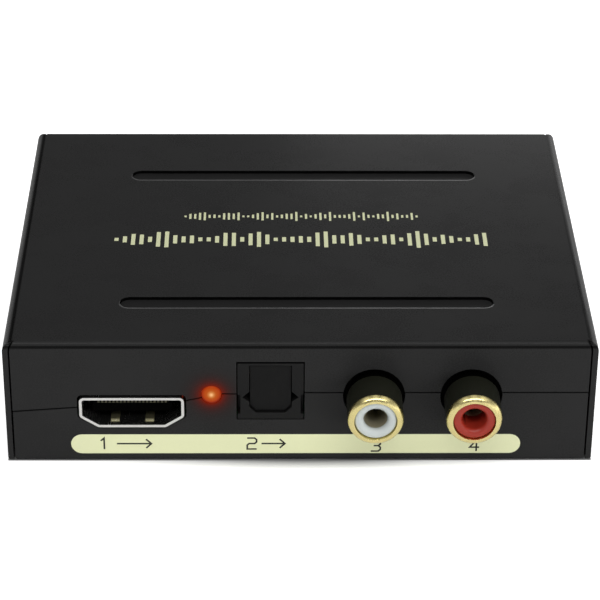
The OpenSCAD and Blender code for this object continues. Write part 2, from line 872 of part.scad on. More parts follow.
// Gold sleeve: a thin tube in the housing whose rounded nose covers the barrel's end
module jack_sleeve() {
    front = -jack_proud;
    color("#d9cb8c") {
        turned_y() polygon(concat(
            [[sleeve_r, jack_sleeve_end], [sleeve_r, front]],
            [[jack_r - jack_nose_round, front]],
            arc([jack_r - jack_nose_round, front + jack_nose_round], jack_nose_round, -90, 0),
            [[jack_r, nose_back - fit], [sleeve_outer_r, nose_back - fit],
             [sleeve_outer_r, jack_sleeve_end]]
        ));
        translate([0, jack_sleeve_end - tail_t / 2, 0])
            block([-tail_w / 2, -tail_t / 2, -jack_h - board_t - lead_below],
                  [tail_w / 2, tail_t / 2, -sleeve_r - jack_sleeve_wall / 2]);
    }
}

// Plastic filling of a jack, with the hole for the plug's pin
module jack_insulator(hue) {
    front = -jack_proud - jack_insulator_proud;
    color(hue) turned_y() polygon(concat(
        [[jack_pin_r, contact_start], [jack_pin_r, front]],
        arc([jack_insulator_r - jack_edge_r, front + jack_edge_r], jack_edge_r, -90, 0),
        [[jack_insulator_r, jack_insulator_end], [contact_outer_r + fit, jack_insulator_end],
         [contact_outer_r + fit, contact_start]]
    ));
}

// Spring tube that grips the plug's pin, with its tail down through the board
module jack_contact() {
    color("#c9b46a") {
        difference() {
            turned_y() polygon([
                [contact_inner_r, contact_start + fit], [contact_outer_r, contact_start + fit],
                [contact_outer_r, jack_contact_end], [0, jack_contact_end],
                [0, jack_contact_end - tail_t], [contact_inner_r, jack_contact_end - tail_t]
            ]);
            for (turn = [0, 90]) rotate([0, turn, 0])
                block([-contact_outer_r - overrun, contact_start, -jack_contact_slit / 2],
                      [contact_outer_r + overrun, jack_insulator_end, jack_contact_slit / 2]);
        }
        block([-tail_w / 2, jack_contact_end - tail_t, -jack_h - board_t - lead_below],
              [tail_w / 2, jack_contact_end, -jack_pin_r]);
    }
}

// The left jack is number 0 and the right one is number 1
module at_jack(number) at_front(jack_x + number * jack_pitch) translate([0, 0, jack_h]) children();

module phono_left_sleeve() at_jack(0) jack_sleeve();
module phono_right_sleeve() at_jack(1) jack_sleeve();
module phono_left_insulator() at_jack(0) jack_insulator("#dfe3e4");
module phono_right_insulator() at_jack(1) jack_insulator("#9c3a31");
module phono_left_contact() at_jack(0) jack_contact();
module phono_right_contact() at_jack(1) jack_contact();

// Status lamp

module at_lamp_leads() {
    for (side = [-1, 1])
        translate([side * lamp_lead_pitch / 2, lamp_l + lamp_lead_bend - lead_t / 2, 0]) children();
}

module status_lamp() {
    // A shallow dome over the whole front
    dome_r = (pow(lamp_r, 2) + pow(lamp_proud, 2)) / (2 * lamp_proud);
    color("#d8481f") at_front(lamp_x) translate([0, 0, lamp_h]) {
        turned_y() polygon(concat(
            [[0, lamp_l]], [[0, -lamp_proud]],
            arc([0, dome_r - lamp_proud], dome_r, -90, -90 + asin(lamp_r / dome_r)),
            [[lamp_r, lamp_l - lamp_flange_t], [lamp_r + lamp_flange_rim, lamp_l - lamp_flange_t],
             [lamp_r + lamp_flange_rim, lamp_l]]
        ));
    }
}

module status_lamp_leads() {
    color("#c7c8ca") at_front(lamp_x) at_lamp_leads() {
        block([-lead_t / 2, -lead_t / 2, -board_t - lead_below], [lead_t / 2, lead_t / 2, lamp_h]);
        block([-lead_t / 2, lead_t / 2 - lamp_lead_bend, lamp_h - lead_t], [lead_t / 2, 0, lamp_h]);
    }
}

// Power jack

// Tails of the contact spring and of the centre pin
module at_power_tails() {
    for (y = [power_bore_l - tail_w, power_l + behind_wall + tail_t / 2]) translate([0, y, 0]) children();
}

module power_jack_housing() {
    back = behind_wall + power_l;
    color("#161719") at_rear(power_x) difference() {
        union() {
            block([-power_w / 2, behind_wall, 0], [power_w / 2, back, power_h]);
            translate([0, 0, power_axis_h]) rod_y(power_collar_r, 0, behind_wall + overrun);
        }
        translate([0, 0, power_axis_h]) rod_y(power_bore_r, -overrun, power_bore_l);
        translate([0, 0, power_axis_h]) rod_y(power_root_r + fit, power_bore_l - overrun, back + overrun);
        block([-tail_w / 2 - fit, behind_wall + power_slot_y, -overrun],
              [tail_w / 2 + fit, power_bore_l, power_axis_h]);
    }
}

module power_jack_pin() {
    back = behind_wall + power_l;
    front = power_pin_back;
    color("#c7c8ca") at_rear(power_x) {
        translate([0, 0, power_axis_h]) turned_y() polygon(concat(
            [[0, back + tail_t / 2], [0, front]],
            arc([0, front + power_pin_r], power_pin_r, -90, 0),
            [[power_pin_r, power_bore_l + fit], [power_root_r, power_bore_l + fit],
             [power_root_r, back + tail_t / 2]]
        ));
        block([-tail_w / 2, back + fit, -board_t - lead_below],
              [tail_w / 2, back + fit + tail_t, power_axis_h + power_pin_r]);
    }
}

// Strip under the bore, arched up into it, with its tail down through the board
module power_jack_spring() {
    low = power_axis_h - power_bore_r - power_spring_t;
    start = behind_wall + power_spring_y;
    tail_y = power_bore_l - tail_w;
    color("#c9b46a") at_rear(power_x) along_x(-tail_w / 2, tail_w / 2) polygon([
        [start, low], [tail_y / 2, low + 2 * power_spring_t], [tail_y - tail_t / 2, low],
        [tail_y - tail_t / 2, -board_t - lead_below], [tail_y + tail_t / 2, -board_t - lead_below],
        [tail_y + tail_t / 2, low + power_spring_t], [tail_y - tail_t, low + power_spring_t],
        [tail_y / 2, low + 3 * power_spring_t], [start, low + power_spring_t]
    ]);
}

// Mode switch

module at_mode_pins() {
    for (i = [-1:1])
        translate([i * mode_pin_pitch, mode_base_y + mode_base_l + lead_t / 2 + fit, 0]) children();
}

module at_mode_tabs() {
    for (side = [-1, 1])
        translate([side * (mode_w / 2 + mode_frame_t / 2 + fit), mode_base_y + mode_base_l / 2, 0])
            children();
}

// Sheet frame: a face with the knob's slot, and two sides that go down through the board
module mode_switch_frame() {
    side = mode_w / 2 + fit;
    front = mode_base_y - mode_frame_t;
    color("#d0d1d2") at_rear(mode_x) difference() {
        union() {
            block([-side - mode_frame_t, front - fit, 0], [side + mode_frame_t, mode_base_y - fit, mode_h]);
            for (edge = [-1, 1]) translate([edge * (side + mode_frame_t / 2), 0, 0])
                block([-mode_frame_t / 2, front - fit, 0],
                      [mode_frame_t / 2, mode_base_y + mode_base_l, mode_h]);
            at_mode_tabs() block([-mode_frame_t / 2, -mode_tab_w / 2, -board_t - lead_below],
                                 [mode_frame_t / 2, mode_tab_w / 2, mode_z]);
        }
        block([-mode_slot_w / 2, -overrun, mode_z - mode_knob_h / 2 - mode_gap],
              [mode_slot_w / 2, mode_base_y, mode_z + mode_knob_h / 2 + mode_gap]);
    }
}

module mode_switch_base() {
    color("#1b1c1e") at_rear(mode_x) difference() {
        block([-mode_w / 2, mode_base_y, 0], [mode_w / 2, mode_base_y + mode_base_l, mode_h]);
        block([-mode_channel_w / 2, mode_base_y - overrun, mode_z - mode_slider_h / 2 - fit],
              [mode_channel_w / 2, mode_base_y + mode_slider_l + mode_gap, mode_z + mode_slider_h / 2 + fit]);
    }
}

// Slider in its middle position, with the knob that stands out of the case
module mode_switch_knob() {
    color("#e4e4e0") at_rear(mode_x) translate([0, 0, mode_z]) {
        block([-mode_slider_w / 2, mode_base_y + fit, -mode_slider_h / 2],
              [mode_slider_w / 2, mode_base_y + mode_slider_l, mode_slider_h / 2]);
        block([-mode_knob_w / 2, -mode_proud, -mode_knob_h / 2],
              [mode_knob_w / 2, mode_base_y + mode_slider_l / 2, mode_knob_h / 2]);
    }
}

module mode_switch_pins() {
    color("#c7c8ca") at_rear(mode_x) at_mode_pins()
        block([-lead_t / 2, -lead_t / 2, -board_t - lead_below], [lead_t / 2, lead_t / 2, mode_z]);
}

// Parts on the board

// A flat chip body that stands just clear of the board
module chip_body(w, d, t) translate([-w / 2, -d / 2, chip_lift]) cube([w, d, t]);

module video_chip() color("#202124") on_board(video_chip_share)
    chip_body(video_chip_w, video_chip_w, video_chip_t);

module video_chip_leads() color("#c7c8ca") on_board(video_chip_share) for (turn = [0, 90])
    rotate([0, 0, turn]) lead_rows(video_chip_w, video_lead_count, video_chip_pitch,
                                   video_chip_t / 2, video_lead_w);

module audio_chip() color("#202124") on_board(audio_chip_share)
    chip_body(audio_chip_l, small_chip_w, small_chip_t);

module audio_chip_leads() color("#c7c8ca") on_board(audio_chip_share)
    lead_rows(small_chip_w, audio_lead_count, small_chip_pitch, small_chip_t / 2, small_lead_w);

module memory_chip() color("#202124") on_board(memory_chip_share)
    chip_body(memory_chip_l, small_chip_w, small_chip_t);

module memory_chip_leads() color("#c7c8ca") on_board(memory_chip_share)
    lead_rows(small_chip_w, memory_lead_count, small_chip_pitch, small_chip_t / 2, small_lead_w);

module voltage_regulator() color("#202124") on_board(regulator_share)
    chip_body(regulator_w, regulator_d, regulator_t);

module regulator_leads() color("#c7c8ca") on_board(regulator_share) {
    translate([0, regulator_d / 2, 0]) gull_lead(regulator_t / 2, regulator_tab_w);
    rotate([0, 0, 180]) translate([0, regulator_d / 2, 0])
        lead_row(regulator_lead_count, regulator_pitch, regulator_t / 2, regulator_lead_w);
}

module power_inductor() color("#3a3b3d") on_board(inductor_share) translate([0, 0, terminal_t])
    linear_extrude(inductor_h) {
        square([inductor_w, inductor_w - 2 * inductor_round], center = true);
        square([inductor_w - 2 * inductor_round, inductor_w], center = true);
        for (x = [-1, 1], y = [-1, 1])
            translate([x, y] * (inductor_w / 2 - inductor_round)) circle(inductor_round);
    }

module inductor_terminals() color("#c7c8ca") on_board(inductor_share) for (side = [-1, 1])
    translate([side * (inductor_w - terminal_w) / 2, 0, 0])
        block([-terminal_w / 2, -terminal_w, 0], [terminal_w / 2, terminal_w, terminal_t]);

// The places of the electrolytic capacitors
module at_cans() for (share = can_shares) on_board(share) children();

module capacitor_cans() color("#c9cbcd") at_cans() translate([0, 0, can_base_t]) difference() {
    cylinder(r = can_r, h = can_h);
    translate([0, 0, can_groove_h]) difference() {
        cylinder(r = can_r + overrun, h = 2 * can_groove);
        cylinder(r = can_r - can_groove, h = 2 * can_groove);
    }
}

module capacitor_bases() color("#161719") at_cans() {
    side = can_base_w / 2;
    linear_extrude(can_base_t) polygon([
        [-side, -side], [side - can_base_bevel, -side], [side, can_base_bevel - side],
        [side, side - can_base_bevel], [side - can_base_bevel, side], [-side, side]
    ]);
}

module crystal_can() color("#c9cbcd") on_board(crystal_share) translate([0, 0, crystal_base_t])
    linear_extrude(crystal_h) stadium(crystal_l - 2 * crystal_flange, crystal_w - 2 * crystal_flange);

module crystal_base() color("#c9cbcd") on_board(crystal_share)
    linear_extrude(crystal_base_t) stadium(crystal_l, crystal_w);

// A block of a given size that stands on the board
module standing(size) translate([-size[0] / 2, -size[1] / 2, 0]) cube(size);

// A row of small parts that stand side by side along X
module part_row(size) {
    for (i = [0:row_count - 1])
        translate([(i - (row_count - 1) / 2) * small_pitch, 0, 0]) rotate([0, 0, 90]) standing(size);
}

module ceramic_capacitors() color("#a88b63") {
    on_board(video_chip_share) for (turn = [0:90:270]) rotate([0, 0, turn])
        translate([0, video_chip_w / 2 + gull_reach + ceramic_size[0], 0]) part_row(ceramic_size);
    on_board(audio_chip_share)
        translate([0, small_chip_w / 2 + gull_reach + ceramic_size[0], 0]) part_row(ceramic_size);
}

module resistors() color("#26272a") {
    at_front(video_out_x) translate([0, resistor_y, 0]) part_row(resistor_size);
    at_rear(video_in_x) translate([0, resistor_y, 0]) part_row(resistor_size);
}

module surge_arrays() color("#202124") {
    for (side = [-1, 1]) {
        at_front(video_out_x) translate([side * array_x, array_y, 0]) standing(array_size);
        at_rear(video_in_x) translate([side * array_x, array_y, 0]) standing(array_size);
    }
}

top_cover();
bottom_shell();
side_screws();
board_standoffs();
board_screws();
main_board();
video_out_shell();
video_out_insulator();
video_out_contacts();
video_in_shell();
video_in_insulator();
video_in_contacts();
optical_housing();
optical_shutter();
shutter_spring();
optical_transmitter();
optical_leads();
phono_housing();
phono_left_sleeve();
phono_right_sleeve();
phono_left_insulator();
phono_right_insulator();
phono_left_contact();
phono_right_contact();
status_lamp();
status_lamp_leads();
power_jack_housing();
power_jack_pin();
power_jack_spring();
mode_switch_frame();
mode_switch_base();
mode_switch_knob();
mode_switch_pins();
video_chip();
video_chip_leads();
audio_chip();
audio_chip_leads();
memory_chip();
memory_chip_leads();
voltage_regulator();
regulator_leads();
power_inductor();
inductor_terminals();
capacitor_cans();
capacitor_bases();
crystal_can();
crystal_base();
ceramic_capacitors();
resistors();
surge_arrays();
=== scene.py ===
"""Looks of a small black audio extractor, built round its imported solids.

The solids give every place and size. This file softens their edges, prints the front and the top, gives each
piece the finish of the real one, and sets the studio with the view that the photograph was taken from.
"""

import logging
import math
from collections.abc import Callable, Iterable, Sequence
from dataclasses import dataclass, field
from enum import Enum

import bmesh
import bpy
from mathutils import Matrix, Vector


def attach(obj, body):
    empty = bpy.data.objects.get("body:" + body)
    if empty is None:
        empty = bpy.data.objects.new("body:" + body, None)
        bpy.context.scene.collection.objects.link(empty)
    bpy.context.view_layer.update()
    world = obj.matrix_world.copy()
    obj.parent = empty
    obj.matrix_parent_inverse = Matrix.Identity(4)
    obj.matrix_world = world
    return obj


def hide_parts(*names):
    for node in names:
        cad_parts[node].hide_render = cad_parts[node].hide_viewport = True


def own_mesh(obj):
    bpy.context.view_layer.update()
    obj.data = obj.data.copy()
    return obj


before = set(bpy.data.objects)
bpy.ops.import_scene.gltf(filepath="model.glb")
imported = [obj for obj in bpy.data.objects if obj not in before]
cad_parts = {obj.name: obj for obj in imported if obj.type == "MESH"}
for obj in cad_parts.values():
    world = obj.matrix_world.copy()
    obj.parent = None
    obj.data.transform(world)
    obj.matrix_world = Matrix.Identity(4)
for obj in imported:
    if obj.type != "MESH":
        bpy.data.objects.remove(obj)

log = logging.getLogger("audio_extractor")

MM = 0.001
CASE = "case"
SHUTTER = "shutter"
MODE_KNOB = "mode_knob"

# The case's half width, half depth and top, in millimetres
HALF_W = 42.5
HALF_D = 33.25
TOP_Z = 20.0
# X and Z of the status lamp's axis, and the radius of its lens
LAMP = (-12.8, 11.2)
LENS_R = 1.45
# Faces that meet at less than this angle shade as one curved surface, and at more than that get a rounded edge
SMOOTH_ANGLE = math.radians(46.0)
EDGE_ANGLE = math.radians(40.0)
# Points nearer than this are one, in metres, and faces that meet at less than this angle are one flat face
MERGE_M = 2e-6
FLAT_ANGLE = math.radians(0.5)
# Size of the slow changes over a surface in millimetres, the detail of the fine and of the slow texture, and the
# values at which the two together are darkest and lightest
CLOUD_MM = 9.0
FINE_NOISE = {"Detail": 3.0, "Roughness": 0.6}
SLOW_NOISE = {"Detail": 2.0}
TEXTURE_SPAN = {"From Min": 0.3, "From Max": 0.7}
BLACK = (0.0, 0.0, 0.0, 1.0)
WHITE = (1.0, 1.0, 1.0, 1.0)
MATH = "ShaderNodeMath"

Point2 = tuple[float, float]
Point3 = tuple[float, float, float]
Tree = bpy.types.NodeTree
Node = bpy.types.Node
Socket = bpy.types.NodeSocket
Piece = bpy.types.Object


# Numbers, colours and nodes


def mm(x: float, y: float, z: float) -> Vector:
    """Returns a place given in millimetres as one in metres."""
    return Vector((x, y, z)) * MM


def linear(hex_colour: str, share: float = 1.0) -> tuple[float, float, float, float]:
    """Turns an sRGB hex value into linear colour.

    Args:
        hex_colour: Six hex digits, with or without a leading #.
        share: What the colour is multiplied by.

    Returns:
        Linear red, green, blue and an alpha of 1.
    """
    digits = hex_colour.lstrip("#")
    values = [int(digits[i : i + 2], 16) / 255 for i in (0, 2, 4)]
    return (*(share * (v / 12.92 if v <= 0.04045 else ((v + 0.055) / 1.055) ** 2.4) for v in values), 1.0)


def put(tree: Tree, kind: str, inputs: dict | Sequence = (), **settings: object) -> Node:
    """Adds a node with its settings and links.

    Args:
        tree: The tree that gets the node.
        kind: The node's type name.
        inputs: For each input, by name or number or in order, a value, an output socket, or a node for its first
            output.
        **settings: Values of the node's own properties.

    Returns:
        The new node.
    """
    node = tree.nodes.new(kind)
    for name, value in settings.items():
        setattr(node, name, value)
    for key, value in inputs.items() if isinstance(inputs, dict) else enumerate(inputs):
        source = value.outputs[0] if isinstance(value, Node) else value
        if isinstance(source, Socket):
            tree.links.new(source, node.inputs[key])
        else:
            node.inputs[key].default_value = source
    return node


def set_stops(ramp: Node, stops: Sequence[tuple[float, Sequence[float]]]) -> None:
    """Gives a colour ramp its stops.

    Args:
        ramp: The ramp's node.
        stops: Place and linear colour of each stop.
    """
    elements = ramp.color_ramp.elements
    while len(elements) < len(stops):
        elements.new(0.5)
    for element, (where, colour) in zip(elements, stops):
        element.position = where
        element.color = colour


# Finishes


class Grain(Enum):
    """How a surface's fine texture lies, as stretch factors along X, Y and Z."""

    EVEN = (1.0, 1.0, 1.0)
    DRAWN_Y = (1.0, 0.06, 1.0)
    DRAWN_Z = (1.0, 1.0, 0.12)
    ROLLED_X = (0.05, 1.0, 1.0)


@dataclass(frozen=True)
class Canvas:
    """What a finish works on while its material is made.

    Args:
        tree: The material's tree.
        place: Object coordinates.
        share: The texture's share from dark to light.
        shader: The surface's shader.
    """

    tree: Tree
    place: Socket
    share: Node
    shader: Node

    def radius(self, axis: Point2) -> Socket:
        """Gives the distance from an axis along Y, in millimetres.

        Args:
            axis: The axis's X and Z in millimetres.

        Returns:
            The distance.
        """
        x, z = axis
        moved = {"Vector": self.place, "Location": (-x, 0.0, -z), "Scale": (1 / MM, 0.0, 1 / MM)}
        shifted = put(self.tree, "ShaderNodeMapping", moved)
        return put(self.tree, "ShaderNodeVectorMath", [shifted], operation="LENGTH").outputs["Value"]

    def shine(self, colour: Node | Socket) -> None:
        """Lets the surface give off light of a colour."""
        self.tree.links.new(colour, self.shader.inputs["Emission Color"])
        self.shader.inputs["Emission Strength"].default_value = 1.0


@dataclass(frozen=True)
class Finish:
    """A surface finish: what the material is, and how its texture varies.

    Args:
        name: Common name of the material and how it was made.
        colour: Base colour as an sRGB hex value.
        roughness: Mean roughness.
        metallic: 1 for bare metal and plating, 0 for the rest.
        specular: Specular level of the shader, 0.5 for most plastics.
        grain: How the fine texture lies.
        grain_mm: Size of the texture's grain.
        depth_mm: Height of the texture.
        colour_spread: How far the colour strays, as a share of itself.
        roughness_spread: How far the roughness strays.
    """

    name: str
    colour: str
    roughness: float
    metallic: float = 0.0
    specular: float = 0.5
    grain: Grain = Grain.EVEN
    grain_mm: float = 0.25
    depth_mm: float = 0.004
    colour_spread: float = 0.08
    roughness_spread: float = 0.05

    def build(self) -> bpy.types.Material:
        """Makes the material, once for each finish.

        Returns:
            The material.
        """
        known = bpy.data.materials.get(self.name)
        if known:
            return known
        material = bpy.data.materials.new(self.name)
        material.use_nodes = True
        tree = material.node_tree
        shader = tree.nodes["Principled BSDF"]
        shader.inputs["Metallic"].default_value = self.metallic
        if not self.metallic:
            shader.inputs["Specular IOR Level"].default_value = self.specular
        place = put(tree, "ShaderNodeTexCoord").outputs["Object"]
        fine = put(tree, "ShaderNodeMapping", {"Vector": place, "Scale": self.grain.value})
        grain, cloud = (
            put(tree, "ShaderNodeTexNoise", {"Vector": vector, "Scale": 1 / (size * MM), **noise})
            for vector, size, noise in ((fine, self.grain_mm, FINE_NOISE), (place, CLOUD_MM, SLOW_NOISE))
        )
        mixed = put(tree, "ShaderNodeMix", {0: 0.5, 2: grain, 3: cloud}, data_type="FLOAT")
        span = {"Value": mixed, **TEXTURE_SPAN}
        share = put(tree, "ShaderNodeMapRange", span)
        canvas = Canvas(tree, place, share, shader)
        tree.links.new(self.paint(canvas), shader.inputs["Base Color"])
        low, high = (self.roughness + side * self.roughness_spread for side in (-1, 1))
        rough = put(tree, "ShaderNodeMapRange", {**span, "To Min": low, "To Max": high})
        tree.links.new(rough.outputs[0], shader.inputs["Roughness"])
        bump = put(tree, "ShaderNodeBump", {"Height": grain, "Distance": self.depth_mm * MM})
        tree.links.new(bump.outputs[0], shader.inputs["Normal"])
        self.light(canvas)
        return material

    def paint(self, canvas: Canvas) -> Socket:
        """Lays the base colour, a little darker and lighter with the texture."""
        dark, light = (linear(self.colour, 1 + side * self.colour_spread) for side in (-1, 1))
        return put(canvas.tree, "ShaderNodeMix", {0: canvas.share, 6: dark, 7: light}, data_type="RGBA").outputs[2]

    def light(self, canvas: Canvas) -> None:
        """Adds the light that the surface gives off, which most have none of."""


@dataclass(frozen=True)
class LampLitPaint(Finish):
    """Powder coat with painted shade in narrow bands beside the bends, and a painted red glow round the status lamp.

    Args:
        reach: Distance in which the painted glow falls to about a third.
        dark_reach: The same for the black that the coat is painted under the glow, as a share of reach.
        glow: Strength of the painted glow at the lens, and the part of it that is green.
        front_y: Y up to which a face belongs to the flat front.
        bend_y: Y up to which it belongs to the front or its bend.
        crown_z: Z from which a face belongs to the top or its bends.
        front_bend_shade: Z of the band of painted shade under the front bend, and its half width.
        side_bend_shade: X of the bands of painted shade beside the side bends, and their half width.
        bend_shade_core: Share of a band of painted shade that is fully dark.
        bend_shade_left: Share of the coat's brightness that is left in a band of painted shade.
    """

    reach: float = 0.62
    dark_reach: float = 2.0
    glow: Point2 = (0.18, 0.05)
    front_y: float = -33.1
    bend_y: float = -33.05
    crown_z: float = 19.6
    front_bend_shade: Point2 = (19.2, 0.38)
    side_bend_shade: Point2 = (41.35, 0.42)
    bend_shade_core: float = 0.3
    bend_shade_left: float = 0.12

    def paint(self, canvas: Canvas) -> Socket:
        """Lays painted shade in bands beside the cover's bends, and paints the coat black under the lamp's glow.

        Args:
            canvas: What it is laid on.

        Returns:
            The colour.
        """
        tree, under = canvas.tree, Finish.paint(self, canvas)
        at = put(tree, "ShaderNodeSeparateXYZ", [canvas.place]).outputs
        aside = put(tree, MATH, [at["X"]], operation="ABSOLUTE")
        on_front = put(tree, MATH, [at["Y"], self.bend_y * MM], operation="LESS_THAN")
        on_top = put(tree, MATH, [at["Z"], self.crown_z * MM], operation="GREATER_THAN")
        # Painted shade: a dark band under the front bend and one beside each side bend
        shares = []
        for value, (middle, half), side in (
            (at["Z"], self.front_bend_shade, on_front),
            (aside, self.side_bend_shade, on_top),
        ):
            off = put(tree, MATH, [value, middle * MM], operation="SUBTRACT")
            away = put(tree, MATH, [off], operation="ABSOLUTE")
            fall = {"Value": away, "From Min": half * MM, "From Max": half * MM * self.bend_shade_core}
            near = put(tree, "ShaderNodeMapRange", fall, interpolation_type="SMOOTHSTEP")
            shares.append(put(tree, MATH, [near, side], operation="MULTIPLY"))
        bend_shade = put(tree, MATH, shares, operation="MAXIMUM")
        dark = linear(self.colour, self.bend_shade_left)
        coat = put(tree, "ShaderNodeMix", {0: bend_shade, 6: under, 7: dark}, data_type="RGBA").outputs[2]
        # The coat is painted black round the lens, under the painted glow
        halo = self.halo(canvas, self.dark_reach * self.reach)
        return put(tree, "ShaderNodeMix", {0: halo, 6: coat, 7: BLACK}, data_type="RGBA").outputs[2]

    def halo(self, canvas: Canvas, reach: float) -> Node:
        """Gives a share that is 1 at the lens's rim on the front face and falls off round it.

        Args:
            canvas: What the light falls on.
            reach: Distance in which it falls to about a third, in millimetres.

        Returns:
            The node whose output is the share.
        """
        tree, away = canvas.tree, canvas.radius(LAMP)
        past = put(tree, MATH, [away, LENS_R], operation="SUBTRACT")
        part = put(tree, MATH, [past, -reach], operation="DIVIDE")
        fall = put(tree, MATH, [part], operation="EXPONENT")
        y = put(tree, "ShaderNodeSeparateXYZ", [canvas.place]).outputs["Y"]
        front = put(tree, MATH, [y, self.front_y * MM], operation="LESS_THAN")
        return put(tree, MATH, [fall, front], operation="MULTIPLY", use_clamp=True)

    def light(self, canvas: Canvas) -> None:
        """Paints the red glow of the lit lens onto the coat round it, as light that the paint gives off.

        Args:
            canvas: What the light falls on.
        """
        strength, green = self.glow
        lit = (strength, green * strength, 0.0, 1.0)
        ends = {0: self.halo(canvas, self.reach), 6: BLACK, 7: lit}
        canvas.shine(put(canvas.tree, "ShaderNodeMix", ends, data_type="RGBA").outputs[2])


@dataclass(frozen=True)
class LitLens(Finish):
    """Tinted epoxy lens with a lit core: pale at its centre, orange further out, deep red at its rim.

    Args:
        core_up: How far the lit core shows over the lens's axis, from the photograph's view.
        rings: Share of the radius and colour of each ring.
    """

    core_up: float = 0.22
    rings: tuple[tuple[float, str], ...] = (
        (0.0, "#ffc98e"),
        (0.12, "#f0ae72"),
        (0.26, "#cc7f40"),
        (0.46, "#b85316"),
        (0.75, "#ae400d"),
        (0.93, "#962a06"),
        (1.0, "#7c1c06"),
    )

    def light(self, canvas: Canvas) -> None:
        """Adds the core's light as rings round the lens's axis.

        Args:
            canvas: The lens.
        """
        away = canvas.radius((LAMP[0], LAMP[1] + self.core_up))
        share = put(canvas.tree, MATH, [away, LENS_R], operation="DIVIDE")
        ramp = put(canvas.tree, "ShaderNodeValToRGB", {"Fac": share})
        set_stops(ramp, [(where, linear(colour)) for where, colour in self.rings])
        canvas.shine(ramp.outputs[0])


@dataclass(frozen=True)
class SolderMask(Finish):
    """Green mask over a board, lighter where a copper trace runs under it.

    Args:
        trace_mm: Width of a trace.
        cell_mm: Length and width of the fields between the traces.
        trace_light: How much lighter the mask is over a trace.
    """

    trace_mm: float = 0.12
    cell_mm: Point2 = (4.6, 1.3)
    trace_light: float = 1.9

    def paint(self, canvas: Canvas) -> Socket:
        """Lays the traces as the edges of bricks.

        Args:
            canvas: The board.

        Returns:
            The colour.
        """
        tree, under = canvas.tree, Finish.paint(self, canvas)
        trace = linear(self.colour, self.trace_light)
        long, wide = self.cell_mm
        colours = {"Vector": canvas.place, "Color1": BLACK, "Color2": BLACK, "Mortar": WHITE, "Scale": 1.0}
        sizes = {"Mortar Size": self.trace_mm * MM, "Brick Width": long * MM, "Row Height": wide * MM}
        traces = put(tree, "ShaderNodeTexBrick", {**colours, **sizes})
        return put(tree, "ShaderNodeMix", {0: traces, 6: under, 7: trace}, data_type="RGBA").outputs[2]


# Satin powder coat: an even black with a fine orange peel that softens every reflection. Bands of painted shade
# lie beside its bends, and a painted red glow round the status lamp
COVER_PAINT = LampLitPaint("satin_powder_coat", "#2a2a2a", 0.28, specular=0.08, grain_mm=0.22, depth_mm=0.0014)
# Painted shade: the same coat is made darker and duller down in the pressed grooves
GROOVE_SHADE_PAINT = Finish("painted_shade_in_groove", "#262626", 0.4, specular=0.06, grain_mm=0.22, depth_mm=0.0014)
# Painted shade: the grooves' steep walls are painted near black, which shows as a black line
WALL_SHADE_PAINT = Finish("painted_shade_on_groove_wall", "#050505", 0.6, specular=0.02, grain_mm=0.22, depth_mm=0.0014)
# Painted highlight: the coat is made paler and glossier on the front side of the rims that the press rolls
RIM_HIGHLIGHT_PAINT = Finish("painted_highlight_on_rim", "#474747", 0.3, specular=0.3, grain_mm=0.22, depth_mm=0.0008)
# Chemical blacking leaves steel dark with a low oily sheen
SCREW_BLACK = Finish("black_oxide_steel", "#17181a", 0.38, specular=0.6, grain_mm=0.12, depth_mm=0.003)
# Bright nickel: mirror-like, with faint drawing lines along the shell
NICKEL = Finish("bright_nickel_plate", "#ecebe8", 0.24, 1.0, grain=Grain.DRAWN_Y, grain_mm=0.15, depth_mm=0.0006)
# The shell's inner springs get a darker, yellower and duller plating than the shell
SPRING_PLATE = Finish("dull_spring_plate", "#8f8b6e", 0.55, 1.0, grain_mm=0.2, depth_mm=0.001)
# Zinc plate is bluish grey, with the lines of the rolled strip
ZINC = Finish("zinc_plated_steel", "#b9bcc0", 0.34, 1.0, grain=Grain.ROLLED_X, grain_mm=0.2, depth_mm=0.001)
# Dipped tin is a bright plain grey without lines
TIN = Finish("tinned_copper", "#c4c5c6", 0.3, 1.0, grain_mm=0.2, depth_mm=0.001)
# Turned brass is a warm yellow, with fine lines along the bar that draw its highlight out
TURNED_BRASS = Finish("turned_brass", "#b79a56", 0.3, 1.0, grain=Grain.DRAWN_Z, grain_mm=0.1, depth_mm=0.001)
# Thin gold flash over nickel, so a pale yellow with a soft polish
PALE_GOLD = Finish("pale_gold_flash", "#f8e8a2", 0.27, 1.0, grain_mm=0.3, depth_mm=0.0008, colour_spread=0.03)
# Unplated spring bronze, browned in the dark of a jack
GRIP_BRONZE = Finish("dull_phosphor_bronze", "#a39d86", 0.5, 0.7, specular=0.5, grain_mm=0.1, depth_mm=0.0006)
# Gold on thin stamped strips looks greyer and duller than on a turned part
CONTACT_GOLD = Finish("contact_gold_flash", "#a09c84", 0.4, 1.0, grain_mm=0.1, depth_mm=0.0004)
# Polyester keeps the faint spark-eroded texture of its mould, which widens its highlights
BARREL_BLACK = Finish("moulded_black_polyester", "#1e1f17", 0.42, specular=0.22, grain_mm=0.18, depth_mm=0.003)
# Nylon deep in a socket swallows nearly all of the light
SOCKET_BLACK = Finish("moulded_black_nylon", "#060605", 0.6, specular=0.04, grain_mm=0.18, depth_mm=0.003)
# The tongues' black plastic, made almost pure black as painted shade deep in their sockets; the jack barrels'
# roots in the panel's holes get it as painted shade too
SHADE_BLACK = Finish("black_plastic_painted_as_shade", "#020202", 0.7, specular=0.02, grain_mm=0.18, depth_mm=0.003)
# Moulded ABS has a soft sheen
OPTICAL_BLACK = Finish("moulded_black_abs", "#121212", 0.5, specular=0.2, grain_mm=0.15, depth_mm=0.003)
